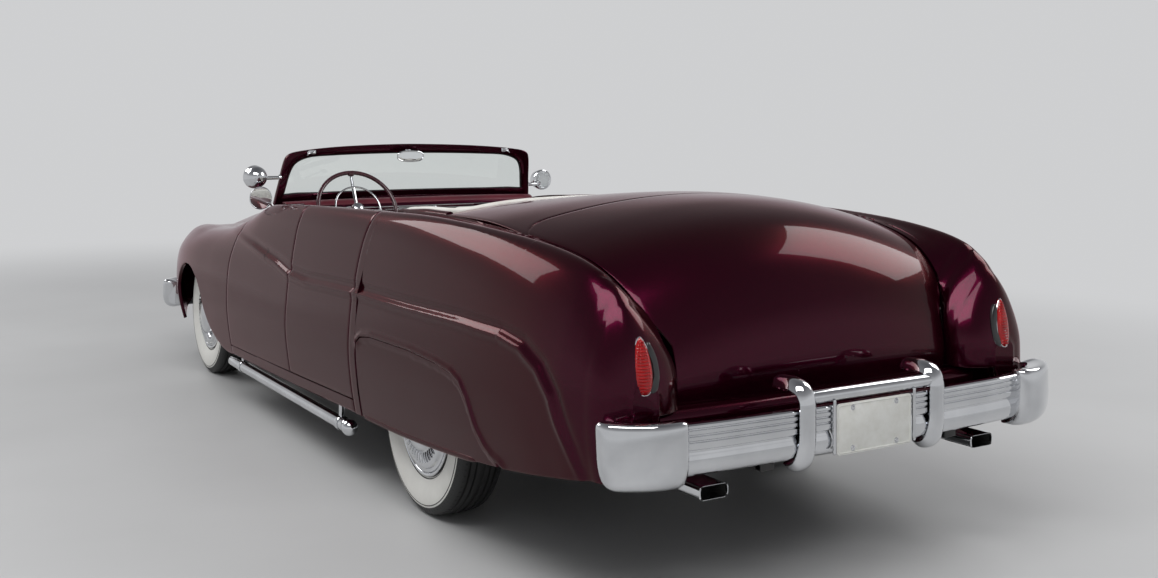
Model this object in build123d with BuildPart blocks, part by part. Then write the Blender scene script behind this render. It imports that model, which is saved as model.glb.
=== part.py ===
from build123d import *
import os
from math import cos, sin, radians

# Lowered, chopped four-door convertible of about 1950, in millimetres.
# +X is the car's left side, the front faces -Y, +Z is up, and Z 0 is the ground.

# Running gear
wheelbase = 2997
front_axle_y = -1761
rear_axle_y = front_axle_y + wheelbase
track_front = 1486
track_rear = 1524
tyre_radius = 352
tyre_width = 188
rim_radius = 200
flange_radius = 214
spindle_radius = 22
fit_gap = 0.3
kingpin_x = 640

# Overall lengths
half_length = 2662
nose_y = -2470
tail_y = 2515

# Panels
skin = 28
door_depth = 105
shut_gap = 6
half_gap = shut_gap / 2
front_door_y = -930
center_post_y = 0
rear_door_y = 770
hood_front_y = -2400
hood_rear_y = -985
lid_front_y = 1738
lid_bottom_z = 582
arch_drop = 134
arch_radius = 410
free_edge_slope = 0.175
widest_x = 962

# Cabin
floor_z = 300
floor_sheet = 8
seat_gap = 0.5
floor_half = 815
trunk_floor_z = 520
tunnel_half = 120
tunnel_top_z = 430

os.makedirs("parts", exist_ok=True)

# Half sections of the body from nose to tail, one row each: y, then x and z of the sill,
# of the widest place, of the side crease, of the fender crown and of the crown's inner
# foot, and z on the centre line.
stations = [
    [-2470, 750, 340, 795, 480, 780, 640, 670, 745, 520, 740, 760],
    [-2330, 825, 295, 868, 480, 848, 662, 712, 795, 540, 790, 858],
    [-2100, 880, 250, 925, 480, 900, 690, 740, 812, 570, 815, 925],
    [-1761, 912, 235, 955, 480, 930, 715, 760, 822, 600, 850, 965],
    [-1300, 922, 238, 962, 500, 938, 735, 775, 862, 650, 905, 1000],
    [-930, 925, 245, 962, 520, 938, 745, 790, 945, 690, 972, 1025],
    [-600, 928, 250, 962, 530, 936, 748, 815, 1012, 720, 1018, 1040],
    [0, 930, 262, 962, 540, 934, 749, 835, 1042, 740, 1044, 1060],
    [800, 930, 285, 962, 560, 936, 764, 835, 1066, 740, 1068, 1100],
    [1300, 930, 300, 964, 570, 940, 774, 830, 1074, 745, 1076, 1140],
    [1800, 930, 335, 962, 580, 938, 784, 810, 1048, 740, 1050, 1158],
    [2100, 915, 365, 945, 590, 925, 775, 790, 1022, 690, 1000, 1130],
    [2300, 890, 392, 918, 600, 902, 750, 775, 982, 650, 915, 1040],
    [2420, 862, 410, 888, 600, 874, 735, 758, 918, 620, 820, 900],
]
# Deck and lid profile from the cabin to the lid's lower edge, one row each:
# y and z on the centre line, y and z at the side of the lid.
deck_profile = [
    [1000, 1106, 1000, 1072],
    [1400, 1147, 1400, 1078],
    [1650, 1158, 1650, 1068],
    [2000, 1142, 1990, 1012],
    [2200, 1085, 2170, 945],
    [2340, 975, 2285, 850],
    [2415, 840, 2350, 740],
    [2442, 700, 2384, 650],
    [2436, 582, 2390, 582],
]
deck_half = 742


def station(y):
    """Body measures at y, by a smooth curve through the rows of the station table."""
    last = len(stations) - 2
    index = min(max(sum(row[0] <= y for row in stations) - 1, 0), last)
    start, end = stations[index], stations[index + 1]
    before, after = stations[max(index - 1, 0)], stations[min(index + 2, last + 1)]
    span = end[0] - start[0]
    t = (y - start[0]) / span
    values = []
    for a, b, c, d in list(zip(before, start, end, after))[1:]:
        slope_b = (c - a) / (end[0] - before[0]) * span
        slope_c = (d - b) / (after[0] - start[0]) * span
        values.append(
            b * (1 - t) ** 2 * (1 + 2 * t)
            + slope_b * t * (1 - t) ** 2
            + c * t**2 * (3 - 2 * t)
            - slope_c * t**2 * (1 - t)
        )
    return values


def rows_between(y_from, y_to):
    """Section places of a panel: its two ends and the table's rows well inside them."""
    clear = 60
    inner = [row[0] for row in stations if y_from + clear < row[0] < y_to - clear]
    return [y_from] + inner + [y_to]


def side_points(y, shift, low=None):
    """Left half outline from the sill to the crown's foot, moved inwards by shift."""
    xs, zs, xw, zw, xr, zr, xc, zc, xf, zf, _ = station(y)
    low = zs if low is None else low
    crown = (xc + (xr - xc) * 0.42, zc - (zc - zr) * 0.2)
    return [
        (xs + (xw - xs) * (low - zs) / (zw - zs) - shift, low),
        (xw - shift, zw),
        (xr - shift, zr),
        (crown[0] - shift, crown[1] - shift * 0.5),
        (xc - shift * 0.2, zc - shift),
        (xf, zf - shift),
    ]


def section(y, points):
    """Sketch of a closed outline in the upright plane across the car at y."""
    with BuildSketch(Plane.XZ.offset(-y)) as sk:
        with BuildLine():
            Polyline(*points, close=True)
        make_face()
    return sk.sketch


def lengthwise(x, points):
    """Sketch of a closed (y, z) outline in the upright plane along the car at x."""
    with BuildSketch(Plane.YZ.offset(x)) as sk:
        with BuildLine():
            Polyline(*points, close=True)
        make_face()
    return sk.sketch


def plan(z, points):
    """Sketch of a closed (x, y) outline in the level plane at z."""
    with BuildSketch(Plane.XY.offset(z)) as sk:
        with BuildLine():
            Polyline(*points, close=True)
        make_face()
    return sk.sketch


def save(part, name):
    part.label = name
    export_step(part, f"parts/{name}.step")


def both_sides(part):
    return mirror(part, about=Plane.YZ)


def seam_z(y):
    """Height of the seam between the doors and the rocker."""
    return 288 + (y - front_door_y) * 0.028


# Chassis: two box rails, kicked up over the axles, and their crossmembers
rail_x = 350
rail_width = 80
rail_outer = rail_x + rail_width
rail_front_y = -2395
rail_rear_y = 2330
heel_y = 870
rail_top = floor_z - floor_sheet - seat_gap
rear_rail_top = trunk_floor_z - floor_sheet - seat_gap
rail_outline = [
    (rail_front_y, 300), (-1560, 300), (-1300, 180), (900, 180), (1040, 412), (1440, 412),
    (1560, 350), (rail_rear_y, 350), (rail_rear_y, 440), (1600, 440),
    (1480, rear_rail_top), (1010, rear_rail_top), (heel_y + 5, rail_top),
    (-1240, rail_top), (-1520, 400), (rail_front_y, 400),
]
# Crossmember rows: y, lowest z, highest z
crossmembers = [
    [-2355, 310, 390],
    [-900, 190, 280],
    [60, 190, 280],
    [700, 190, 280],
    [1640, 360, 430],
    [2290, 360, 430],
]
crossmember_width = 70
hitch_hole_x = 300
hitch_hole_radius = 6.75
with BuildPart() as frame_rails:
    for side in (-1, 1):
        extrude(lengthwise(side * (rail_x + rail_width / 2), rail_outline), rail_width / 2, both=True)
    for y, low, high in crossmembers:
        with Locations((0, y, (low + high) / 2)):
            Box(2 * rail_x + 20, crossmember_width, high - low)
    with Locations((0, crossmembers[-1][0], 395)):
        with GridLocations(hitch_hole_x, 1, 2, 1):
            Cylinder(hitch_hole_radius, 100, mode=Mode.SUBTRACT)
save(frame_rails.part, "frame_rails")

# Floor: cabin floor with its tunnel, heel board and raised trunk floor
trunk_floor_rear = 2350
trunk_floor_half = 600
firewall_thick = 30
firewall_y = hood_rear_y + shut_gap
with BuildPart() as floor_pan:
    t = floor_sheet
    tunnel_foot = tunnel_half + 20
    outline = [
        (-floor_half, floor_z - t), (-tunnel_foot, floor_z - t), (-tunnel_half, tunnel_top_z - t),
        (tunnel_half, tunnel_top_z - t), (tunnel_foot, floor_z - t), (floor_half, floor_z - t),
        (floor_half, floor_z), (tunnel_foot + t, floor_z), (tunnel_half + t, tunnel_top_z),
        (-tunnel_half - t, tunnel_top_z), (-tunnel_foot - t, floor_z), (-floor_half, floor_z),
    ]
    extrude(section(heel_y, outline), heel_y - (firewall_y + firewall_thick + seat_gap))
    with Locations((0, heel_y - t / 2, (floor_z + trunk_floor_z) / 2)):
        Box(2 * trunk_floor_half, t, trunk_floor_z - floor_z)
    with Locations((0, (heel_y + trunk_floor_rear) / 2, trunk_floor_z - t / 2)):
        Box(2 * trunk_floor_half, trunk_floor_rear - heel_y, t)
    with Locations((0, (trunk_floor_rear + 2394) / 2, trunk_floor_z - t / 2)):
        Box(600, 2394 - trunk_floor_rear, t)
    with Locations((0, heel_y - t / 2, (floor_z + tunnel_top_z) / 2 - t)):
        Box(2 * tunnel_half - 2 * t, 2 * t, tunnel_top_z - floor_z, mode=Mode.SUBTRACT)
save(floor_pan.part, "floor_pan")

# Steering column line, from the wheel's hub down to the firewall
column_x = 380
column_tilt = 30
wheel_center_y = -594
wheel_center_z = 984
column_radius = 24
column_plane = Plane(
    (column_x, wheel_center_y, wheel_center_z),
    x_dir=(1, 0, 0),
    z_dir=(0, -cos(radians(column_tilt)), -sin(radians(column_tilt))),
)

# Hood between the fenders
with BuildPart() as hood:
    for y in rows_between(hood_front_y, hood_rear_y):
        xf, zf, zt = station(y)[8:]
        edge = xf - shut_gap
        points = [(edge, zf), (edge * 0.75, (zf + zt) / 2 + 12), (edge * 0.4, zt - 12), (0, zt)]
        upper = points + [(-x, z) for x, z in reversed(points[:-1])]
        add(section(y, upper + [(x, z - skin) for x, z in reversed(upper)]))
    loft(ruled=True)
save(hood.part, "hood")

# Cowl: the firewall and the top panel under the windshield
cowl_rear_y = -800
hood_rest_x = 380
with BuildPart() as cowl:
    fender_end = front_door_y - half_gap
    for y_from, y_to, inset in (
        (firewall_y, fender_end - seat_gap, seat_gap),
        (fender_end - seat_gap, cowl_rear_y, 20),
    ):
        for y in (y_from, y_to):
            xf, zf, zt = station(y)[8:]
            edge = xf - inset
            points = [(edge, zf - 8), (edge * 0.5, (zf + 3 * zt) / 4), (0, zt)]
            upper = points + [(-x, z) for x, z in reversed(points[:-1])]
            add(section(y, upper + [(x, z - 40) for x, z in reversed(upper)]))
        loft(ruled=True)
    with Locations((0, firewall_y + firewall_thick / 2, (floor_z + 930) / 2)):
        Box(2 * 640, firewall_thick, 930 - floor_z)
    with Locations((0, firewall_y + firewall_thick / 2, (floor_z + tunnel_top_z) / 2)):
        Box(2 * tunnel_half, 2 * firewall_thick, tunnel_top_z - floor_z + 2, mode=Mode.SUBTRACT)
    with BuildSketch(column_plane):
        Circle(column_radius + seat_gap)
    extrude(amount=600, mode=Mode.SUBTRACT)
    # Rests under the hood's rear edge, cut to lie just below it
    for side in (-1, 1):
        with Locations((side * hood_rest_x, hood_rear_y - 8, 950)):
            Box(60, 40, 80)
    add(hood.part.moved(Location((0, 0, -fit_gap))), mode=Mode.SUBTRACT)
save(cowl.part, "cowl")

# Hinge leaves in the doors' shut gaps: lowest and highest z of each
hinge_leaves = [(480, 560), (700, 760)]
hinge_leaf_x = 912
hinge_leaf_width = 50
hinge_leaf_depth = 30

# Front fenders: thin shells with a wheel arch, closed at the nose by the lamp pod
lamp_x = 672
lamp_z = 600
lamp_radius = 88
pod_y = nose_y - 35
with BuildPart() as front_fender:
    for y in rows_between(nose_y, front_door_y - half_gap):
        outer = side_points(y, 0)
        inner = side_points(y, skin)
        add(section(y, outer + list(reversed(inner))))
    loft(ruled=True)
    pod = side_points(nose_y, 0)
    nose_points = [(x * 0.97 + 10, z * 0.94 + 30) for x, z in pod]
    pod_foot = (pod[0][0] - 200, pod[0][1])
    add(section(nose_y, pod + [(pod_foot[0], 500), pod_foot]))
    add(section(pod_y, nose_points + [(pod_foot[0] + 20, 500), (pod_foot[0] + 20, pod_foot[1] + 20)]))
    loft(ruled=True)
    arch_z = tyre_radius - arch_drop
    outline = [(front_axle_y - arch_radius, 100)]
    for angle in range(180, 30, -10):
        turn = radians(angle)
        outline.append((front_axle_y + arch_radius * cos(turn), arch_z + arch_radius * sin(turn)))
    # Behind the wheel the opening flares out into the sill
    flare = [(404, 362), (470, 312), (545, 280), (640, 252), (720, 228), (720, 100)]
    outline += [(front_axle_y + y, z) for y, z in flare]
    add(extrude(lengthwise(700, outline), 400), mode=Mode.SUBTRACT)
    with BuildSketch(Plane.XZ.offset(-pod_y)):
        with Locations((lamp_x, lamp_z)):
            Circle(lamp_radius + fit_gap)
    extrude(amount=-30, mode=Mode.SUBTRACT)
    leaf_y = front_door_y - hinge_leaf_depth / 2 + half_gap - seat_gap
    for low, high in hinge_leaves:
        with Locations((hinge_leaf_x, leaf_y, (low + high) / 2)):
            Box(hinge_leaf_width, hinge_leaf_depth, high - low)
save(front_fender.part, "left_front_fender")
save(both_sides(front_fender.part), "right_front_fender")

# Headlights seated in the pods
with BuildPart() as headlights:
    with BuildSketch(Plane.XZ.offset(-pod_y - 30 + fit_gap)) as lamp:
        with Locations((lamp_x, lamp_z), (-lamp_x, lamp_z)):
            Circle(lamp_radius)
    extrude(amount=34)
save(headlights.part, "headlights")

# Doors: as thick as the whole door, hinged at the outer edge, with a post between them
door_top_inset = 80
post_width = 84


def door(y_from, y_to, free_y):
    """Left door between two shut lines, its free edge slanted so that it swings past its neighbour."""
    away = 1 if free_y == y_to else -1
    reach = 300
    slant = [
        (widest_x, free_y), (widest_x - reach, free_y - away * free_edge_slope * reach),
        (widest_x - reach, free_y + away * reach), (widest_x, free_y + away * reach),
    ]
    slant_block = extrude(plan(floor_z - 100, slant), 1000)
    with BuildPart() as panel:
        for y in rows_between(y_from, y_to):
            xs, zs, xw, zw, xr, zr, xc, zc, xf, zf, _ = station(y)
            low = seam_z(y) + half_gap
            inner = [
                (xc - door_top_inset, zc),
                (xr - door_depth - 40, zr + 60),
                (xw - door_depth, zw),
                (xs - door_depth + 10, low),
            ]
            add(section(y, side_points(y, 0, low)[:-1] + inner))
        loft(ruled=True)
        add(slant_block, mode=Mode.SUBTRACT)
    return panel.part


front_door = door(front_door_y + half_gap, center_post_y - half_gap, center_post_y - half_gap)
rear_door = door(center_post_y + half_gap, rear_door_y - half_gap, center_post_y + half_gap)
save(front_door, "left_front_door")
save(both_sides(front_door), "right_front_door")
save(rear_door, "left_rear_door")
save(both_sides(rear_door), "right_rear_door")

with BuildPart() as center_posts:
    post_top = station(center_post_y)[7] - 14
    outline = [
        (floor_half - 60, floor_z + seat_gap), (floor_half, floor_z + seat_gap), (846, 540),
        (775, 820), (746, post_top), (700, post_top), (716, 810), (790, 540),
    ]
    extrude(section(center_post_y, outline), post_width / 2, both=True)
    mirror(about=Plane.YZ)
save(center_posts.part, "center_posts")

# Rockers under the doors
with BuildPart() as rocker_panels:
    reach = half_gap - seat_gap
    for y in (front_door_y - reach, center_post_y, rear_door_y + reach):
        xs, zs, xw, zw = station(y)[:4]
        seam = seam_z(y) - half_gap
        x_seam = xs + (xw - xs) * (seam - zs) / (zw - zs)
        inner_x = floor_half + seat_gap
        outline = [
            (inner_x, zs), (xs, zs), (x_seam, seam), (inner_x + 14, seam),
            (inner_x + 14, floor_z), (inner_x, floor_z),
        ]
        add(section(y, outline))
    loft(ruled=True)
    mirror(about=Plane.YZ)
save(rocker_panels.part, "rocker_panels")

# Rear quarters: shells from the rear door back, each closed by a tail pod with its lamp
skirt_gap = 0.8
skirt_outline = [
    (850, 300), (850, 560), (900, 598), (1364, 619), (1663, 605), (1748, 586), (1800, 537),
    (1858, 439), (1929, 378), (1991, 361), (1960, 300),
]
bumper_seat_y = 2425
bumper_seat_z = 612
pod_front_y = 2300
lid_corner_x = 550
pod_inner_x = lid_corner_x + 16
tail_lamp_x = 742
tail_lamp_z = 730
tail_lamp_width = 60
tail_lamp_height = 158
tail_lamp_depth = 40


def grown(points, distance):
    """Outline moved outwards from its middle by about the given distance."""
    mid_a = sum(a for a, b in points) / len(points)
    mid_b = sum(b for a, b in points) / len(points)
    grown_points = []
    for a, b in points:
        reach = ((a - mid_a) ** 2 + (b - mid_b) ** 2) ** 0.5
        grown_points.append((a + (a - mid_a) * distance / reach, b + (b - mid_b) * distance / reach))
    return grown_points


with BuildPart() as quarter_shell:
    for y in rows_between(rear_door_y + half_gap, stations[-1][0]):
        add(section(y, side_points(y, 0) + list(reversed(side_points(y, skin)))))
    loft(ruled=True)
skirt_hole = extrude(lengthwise(800, grown(skirt_outline, skirt_gap)), 300)
skirt_block = extrude(lengthwise(800, skirt_outline), 300)
with BuildPart() as quarter_panel:
    add(quarter_shell.part)
    add(skirt_hole, mode=Mode.SUBTRACT)
    # Pod rows: y, x of its inner face, share of the section's height kept
    for y, inner_x, share in ([pod_front_y, 646, 1], [2400, pod_inner_x, 1], [2465, 575, 0.93],
                              [tail_y, 590, 0.78]):
        outer = side_points(min(y, stations[-1][0]), 0)
        base = outer[0][1]
        tuck = (max(y, 2400) - 2400) * 0.12
        shaped = [(x - tuck, base + (z - base) * share) for x, z in outer]
        add(section(y, shaped + [(inner_x, shaped[-1][1] - 40), (inner_x, base)]))
    loft(ruled=True)
    with Locations((750, (bumper_seat_y + 2600) / 2, bumper_seat_z / 2)):
        Box(420, 2600 - bumper_seat_y, bumper_seat_z, mode=Mode.SUBTRACT)
    with Locations((tail_lamp_x, tail_y - tail_lamp_depth / 2 + 1, tail_lamp_z)):
        Box(tail_lamp_width, tail_lamp_depth + 2, tail_lamp_height, mode=Mode.SUBTRACT)
    leaf_y = rear_door_y + hinge_leaf_depth / 2 - half_gap + seat_gap
    for low, high in hinge_leaves:
        with Locations((hinge_leaf_x, leaf_y, (low + high) / 2)):
            Box(hinge_leaf_width, hinge_leaf_depth, high - low)
save(quarter_panel.part, "left_quarter_panel")
save(both_sides(quarter_panel.part), "right_quarter_panel")

with BuildPart() as fender_skirts:
    add(quarter_shell.part)
    add(skirt_block, mode=Mode.INTERSECT)
    mirror(about=Plane.YZ)
save(fender_skirts.part, "fender_skirts")

with BuildPart() as taillights:
    for side in (-1, 1):
        with Locations((side * tail_lamp_x, tail_y - tail_lamp_depth / 2 + 2, tail_lamp_z)):
            Box(tail_lamp_width - 2 * fit_gap, tail_lamp_depth, tail_lamp_height - 2 * fit_gap)
save(taillights.part, "taillights")

# Deck skin, cut into the panel behind the cabin and the trunk lid
deck_skin = 24


def deck_section(x):
    """Upright outline of the deck skin along the car at x."""
    share = (x / deck_half) ** 2
    outer = [(yc + (ys - yc) * share, zc + (zs - zc) * share) for yc, zc, ys, zs in deck_profile]
    inner = []
    for index, (y, z) in enumerate(outer):
        before, after = outer[max(index - 1, 0)], outer[min(index + 1, len(outer) - 1)]
        run, rise = after[0] - before[0], after[1] - before[1]
        length = (run**2 + rise**2) ** 0.5
        inner.append((y + rise / length * deck_skin, z - run / length * deck_skin))
    inner[0] = (outer[0][0], inner[0][1])
    inner[-1] = (inner[-1][0], outer[-1][1])
    return outer + list(reversed(inner))


with BuildPart() as deck_shell:
    for step in range(-4, 5):
        x = step / 4 * deck_half
        add(lengthwise(x, deck_section(x)))
    loft(ruled=True)
lid_outline = [
    (724, lid_front_y), (720, 1830), (668, 2100), (620, 2300), (lid_corner_x - 5, 2386),
    (lid_corner_x - 5, 2500),
]
lid_outline = lid_outline + [(-x, y) for x, y in reversed(lid_outline)]
deck_panel_half = 740
lid_hinge_x = 420
# Rear rim of the cabin, from the left side to the centre line
cabin_rim = [(700, 1300), (609, 1234), (412, 1110), (247, 1050), (0, 1015)]
rim = [(deck_panel_half, 1345)] + cabin_rim
rim = rim + [(-x, y) for x, y in reversed(rim[:-1])]
deck_outline = [(-deck_panel_half, lid_front_y - shut_gap), (deck_panel_half, lid_front_y - shut_gap)] + rim
lid_block = extrude(plan(500, lid_outline), 800)
deck_block = extrude(plan(500, deck_outline), 800)
with BuildPart() as trunk_lid:
    add(deck_shell.part)
    add(lid_block, mode=Mode.INTERSECT)
save(trunk_lid.part, "trunk_lid")
with BuildPart() as deck_panel:
    add(deck_shell.part)
    add(deck_block, mode=Mode.INTERSECT)
    # Hinge plates that reach under the lid's front edge, cut to lie just below it
    for side in (-1, 1):
        with Locations((side * lid_hinge_x, lid_front_y, 1085)):
            Box(50, 70, 50)
    add(trunk_lid.part.moved(Location((0, 0, -fit_gap))), mode=Mode.SUBTRACT)
save(deck_panel.part, "deck_panel")

# Rolled pan below the lid, slotted for the bumper irons
iron_width = 50
iron_height = 30
iron_x = rail_x + rail_width / 2
iron_z = 425
front_iron_z = 350
iron_end_y = 2602
with BuildPart() as rear_pan:
    for x, back in ((-pod_inner_x + 0.5, 30), (0, 0), (pod_inner_x - 0.5, 30)):
        profile = [
            (2436, lid_bottom_z - shut_gap), (2438, 520), (2420, 460), (2370, 405), (2362, 420),
            (2402, 470), (2412, 520), (2410, lid_bottom_z - shut_gap),
        ]
        add(lengthwise(x, [(y - back, z) for y, z in profile]))
    loft(ruled=True)
    with Locations((-iron_x, 2400, iron_z), (iron_x, 2400, iron_z)):
        Box(iron_width + 4, 150, iron_height + 4, mode=Mode.SUBTRACT)
save(rear_pan.part, "rear_pan")

# Nose panel: upper panel, valance and the posts that join them at the fenders
nose_half = 515
post_outer = stations[0][9] + 10 + seat_gap
with BuildPart() as nose_panel:
    profile = [
        (hood_front_y - shut_gap, 812), (nose_y + 20, 775), (nose_y - 22, 715), (nose_y - 25, 640),
        (nose_y + 2, 640), (nose_y + 4, 706), (nose_y + 36, 752), (hood_front_y - shut_gap, 785),
    ]
    extrude(lengthwise(-nose_half, profile), 2 * nose_half)
    valance = [
        (nose_y - 25, 440), (nose_y - 22, 380), (nose_y + 48, 335), (nose_y + 68, 350),
        (nose_y + 6, 388), (nose_y + 3, 440),
    ]
    extrude(lengthwise(-nose_half, valance), 2 * nose_half)
    for side in (-1, 1):
        with Locations((side * (nose_half - 40 + post_outer) / 2, nose_y - 14, 540)):
            Box(post_outer - nose_half + 40, 26, 220)
        with Locations((side * iron_x, nose_y, front_iron_z)):
            Box(iron_width + 4, 200, iron_height + 4, mode=Mode.SUBTRACT)
save(nose_panel.part, "nose_panel")

# Grille: an oval frame with upright teeth
grille_half = nose_half - 40 - seat_gap
grille_tooth = 18
grille_teeth = 15
with BuildPart() as grille:
    for z in (452, 628):
        with Locations((0, nose_y - 11, z)):
            Box(2 * grille_half, 30, 22)
    for index in range(grille_teeth):
        x = (index / (grille_teeth - 1) * 2 - 1) * (grille_half - grille_tooth / 2)
        with Locations((x, nose_y - 14, 540)):
            Box(grille_tooth, 24, 170)
save(grille.part, "grille")

# Bumpers: a bar bent round each end, taller over the corners, and upright guards
bumper_bar = 48
bar_bend = [(0, 2645), (300, 2640), (640, 2622), (760, 2600), (860, 2548), (882, 2500)]
corner_bend = [(675, 2650), (762, 2644), (850, 2602), (898, 2556), (908, 2500)]


def band(points, depth, z_from, z_to):
    """Upright band whose outer face follows points in plan, depth thick towards the car."""
    sign = 1 if points[0][1] > 0 else -1
    inner = []
    for index, (x, y) in enumerate(points):
        before, after = points[max(index - 1, 0)], points[min(index + 1, len(points) - 1)]
        run, rise = after[0] - before[0], after[1] - before[1]
        length = (run**2 + rise**2) ** 0.5
        inner.append((x + sign * rise / length * depth, y - sign * run / length * depth))
    if points[0][0] == 0:
        inner[0] = (0, points[0][1] - sign * depth)
    return extrude(plan(z_from, points + list(reversed(inner))), z_to - z_from)


def bumper(z_bar, z_corner, sign):
    """Bar and corner caps of one bumper, sign 1 at the tail and -1 at the nose."""
    halves = []
    for bend, heights, depth in ((bar_bend, z_bar, bumper_bar), (corner_bend, z_corner, bumper_bar + 22)):
        halves.append(band([(x, sign * y) for x, y in bend], depth, *heights))
    with BuildPart() as whole:
        for half in halves:
            add(half)
        mirror(about=Plane.YZ)
    return whole.part


rear_bar_z = (430, 583)
rear_corner_z = (405, 600)
front_bar_z = (300, 440)
front_corner_z = (280, 455)
rear_bar = bumper(rear_bar_z, rear_corner_z, 1)
front_bar = bumper(front_bar_z, front_corner_z, -1)
with BuildPart() as rear_bumper:
    add(rear_bar)
    iron_from = rail_rear_y + seat_gap
    for side in (-1, 1):
        with Locations((side * iron_x, (iron_from + iron_end_y) / 2, iron_z)):
            Box(iron_width, iron_end_y - iron_from, iron_height)
        with Locations((side * iron_x, iron_end_y - 15, iron_z + 20)):
            Box(iron_width, 30, 70)
save(rear_bumper.part, "rear_bumper")
with BuildPart() as front_bumper:
    add(front_bar)
    iron_from = rail_front_y - seat_gap
    for side in (-1, 1):
        with Locations((side * iron_x, (iron_from - iron_end_y) / 2, front_iron_z)):
            Box(iron_width, iron_end_y + iron_from, iron_height)
save(front_bumper.part, "front_bumper")

# Guards hook over the bar, and at the rear a round bar joins them
guard_x = 264
guard_width = 60
top_bar_radius = 20
rear_guard = [
    (2502, 642), (2520, 662), (2600, 668), (2648, 645), (half_length, 605), (half_length, 480),
    (2640, 412), (2598, 391), (2560, 398), (2562, 424), (2600, 420), (2641.4, 424), (2641.4, 589),
    (2600, 615), (2520, 636),
]
with BuildPart() as rear_guards:
    for side in (-1, 1):
        extrude(lengthwise(side * guard_x, rear_guard), guard_width / 2, both=True)
    with Locations(Location((0, 2632, 612), (0, 90, 0))):
        Cylinder(top_bar_radius, 2 * guard_x)
save(rear_guards.part, "rear_guards")
with BuildPart() as front_guards:
    drop = 130
    for side in (-1, 1):
        front_guard = [(-y, z - drop) for y, z in rear_guard]
        extrude(lengthwise(side * guard_x, front_guard), guard_width / 2, both=True)
save(front_guards.part, "front_guards")

# Number plate hung under the round bar, left blank
plate_width = 305
plate_height = 152
plate_z = 509
plate_thick = 4
plate_y = bar_bend[0][1] + fit_gap + plate_thick / 2
plate_hole_x = 178
plate_hole_y = 120
plate_hole_radius = 3.5
with BuildPart() as number_plate:
    with Locations((0, plate_y, plate_z)):
        Box(plate_width, plate_thick, plate_height)
    with Locations(Location((0, plate_y, plate_z), (90, 0, 0))):
        with GridLocations(plate_hole_x, plate_hole_y, 2, 2):
            Cylinder(plate_hole_radius, 8, mode=Mode.SUBTRACT)
save(number_plate.part, "number_plate")

# Exhausts: a flattened mouth at the end of each pipe, hung from the frame
exhaust_x = 549
exhaust_z = 372
mouth_width = 100
mouth_height = 33
mouth_wall = 4
pipe_radius = 16
with BuildPart() as exhaust_pipes:
    with Locations((exhaust_x, 2577 - 85, exhaust_z)):
        Box(mouth_width, 170, mouth_height)
    with Locations((exhaust_x, 2577 - 40, exhaust_z)):
        Box(mouth_width - 2 * mouth_wall, 82, mouth_height - 2 * mouth_wall, mode=Mode.SUBTRACT)
    with Locations(Location((exhaust_x, 1990, exhaust_z), (90, 0, 0))):
        Cylinder(pipe_radius, 860)
    for y in (1640, 2290):
        with Locations(((exhaust_x + rail_outer) / 2, y, exhaust_z + 30)):
            Box(exhaust_x - rail_outer - 2 * seat_gap, 24, 8)
        with Locations((exhaust_x - 8, y, exhaust_z + 15)):
            Box(16, 24, 34)
    mirror(about=Plane.YZ)
save(exhaust_pipes.part, "exhaust_pipes")

# Side pipes under the rockers, each with a ball at its rear end and two straps
side_pipe_x = 896
side_pipe_radius = 26
side_pipe_z = 196
with BuildPart() as side_pipes:
    with Locations(Location((side_pipe_x, -190, side_pipe_z), (90, 0, 0))):
        Cylinder(side_pipe_radius, 1670)
    with Locations((side_pipe_x, 652, side_pipe_z)):
        Sphere(side_pipe_radius + 6)
    for y in (-820, 560):
        top = station(y)[1] - seat_gap
        with Locations((side_pipe_x, y, (side_pipe_z + top) / 2)):
            Box(16, 30, top - side_pipe_z)
    mirror(about=Plane.YZ)
save(side_pipes.part, "side_pipes")

# Windshield: a bowed slab between two levels, cut into the frame and its glass
frame_depth = 34
header_z = 1268
header_rise = 38
base_bend = [(735, -862), (400, -938), (0, -968)]
header_bend = [(690, -764), (380, -836), (0, -862)]
frame_outline = [(-742, 1012), (-700, header_z), (-380, header_z + 30), (0, header_z + header_rise)]
glass_outline = [(-688, 1052), (-668, 1180), (-640, 1215), (-560, 1238), (-380, header_z - 15),
                 (0, header_z - 8)]


def across(points):
    """A left-to-right outline from its left half, the last point on the centre line."""
    return points + [(-x, other) for x, other in reversed(points[:-1])]


def bowed_slab(depth):
    """Slab between the windshield's foot and header, depth thick towards the cabin."""
    with BuildPart() as slab:
        for z, bend in ((1000, base_bend), (1320, header_bend)):
            front = across(bend)
            back = [(x, y + depth) for x, y in reversed(front)]
            add(plan(z, front + back))
        loft(ruled=True)
    return slab.part


frame_block = extrude(section(0, across(frame_outline)), 1100)
glass_block = extrude(section(0, across(glass_outline)), 1100)
glass_thick = 6
with BuildPart() as windshield_frame:
    add(bowed_slab(frame_depth))
    add(frame_block, mode=Mode.INTERSECT)
    add(glass_block, mode=Mode.SUBTRACT)
    add(cowl.part, mode=Mode.SUBTRACT)
save(windshield_frame.part, "windshield_frame")
with BuildPart() as windshield_glass:
    add(bowed_slab(glass_thick).translate((0, frame_depth / 2 - glass_thick / 2, 0)))
    add(glass_block, mode=Mode.INTERSECT)
save(windshield_glass.part, "windshield_glass")

# Mirror under the header
with BuildPart() as rear_view_mirror:
    mirror_y = -806
    with Locations((0, mirror_y, 1240)):
        Box(150, 14, 58)
    with Locations((0, (mirror_y - 841.6) / 2, 1269)):
        Box(20, mirror_y + 841.6, 14)
save(rear_view_mirror.part, "rear_view_mirror")

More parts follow.
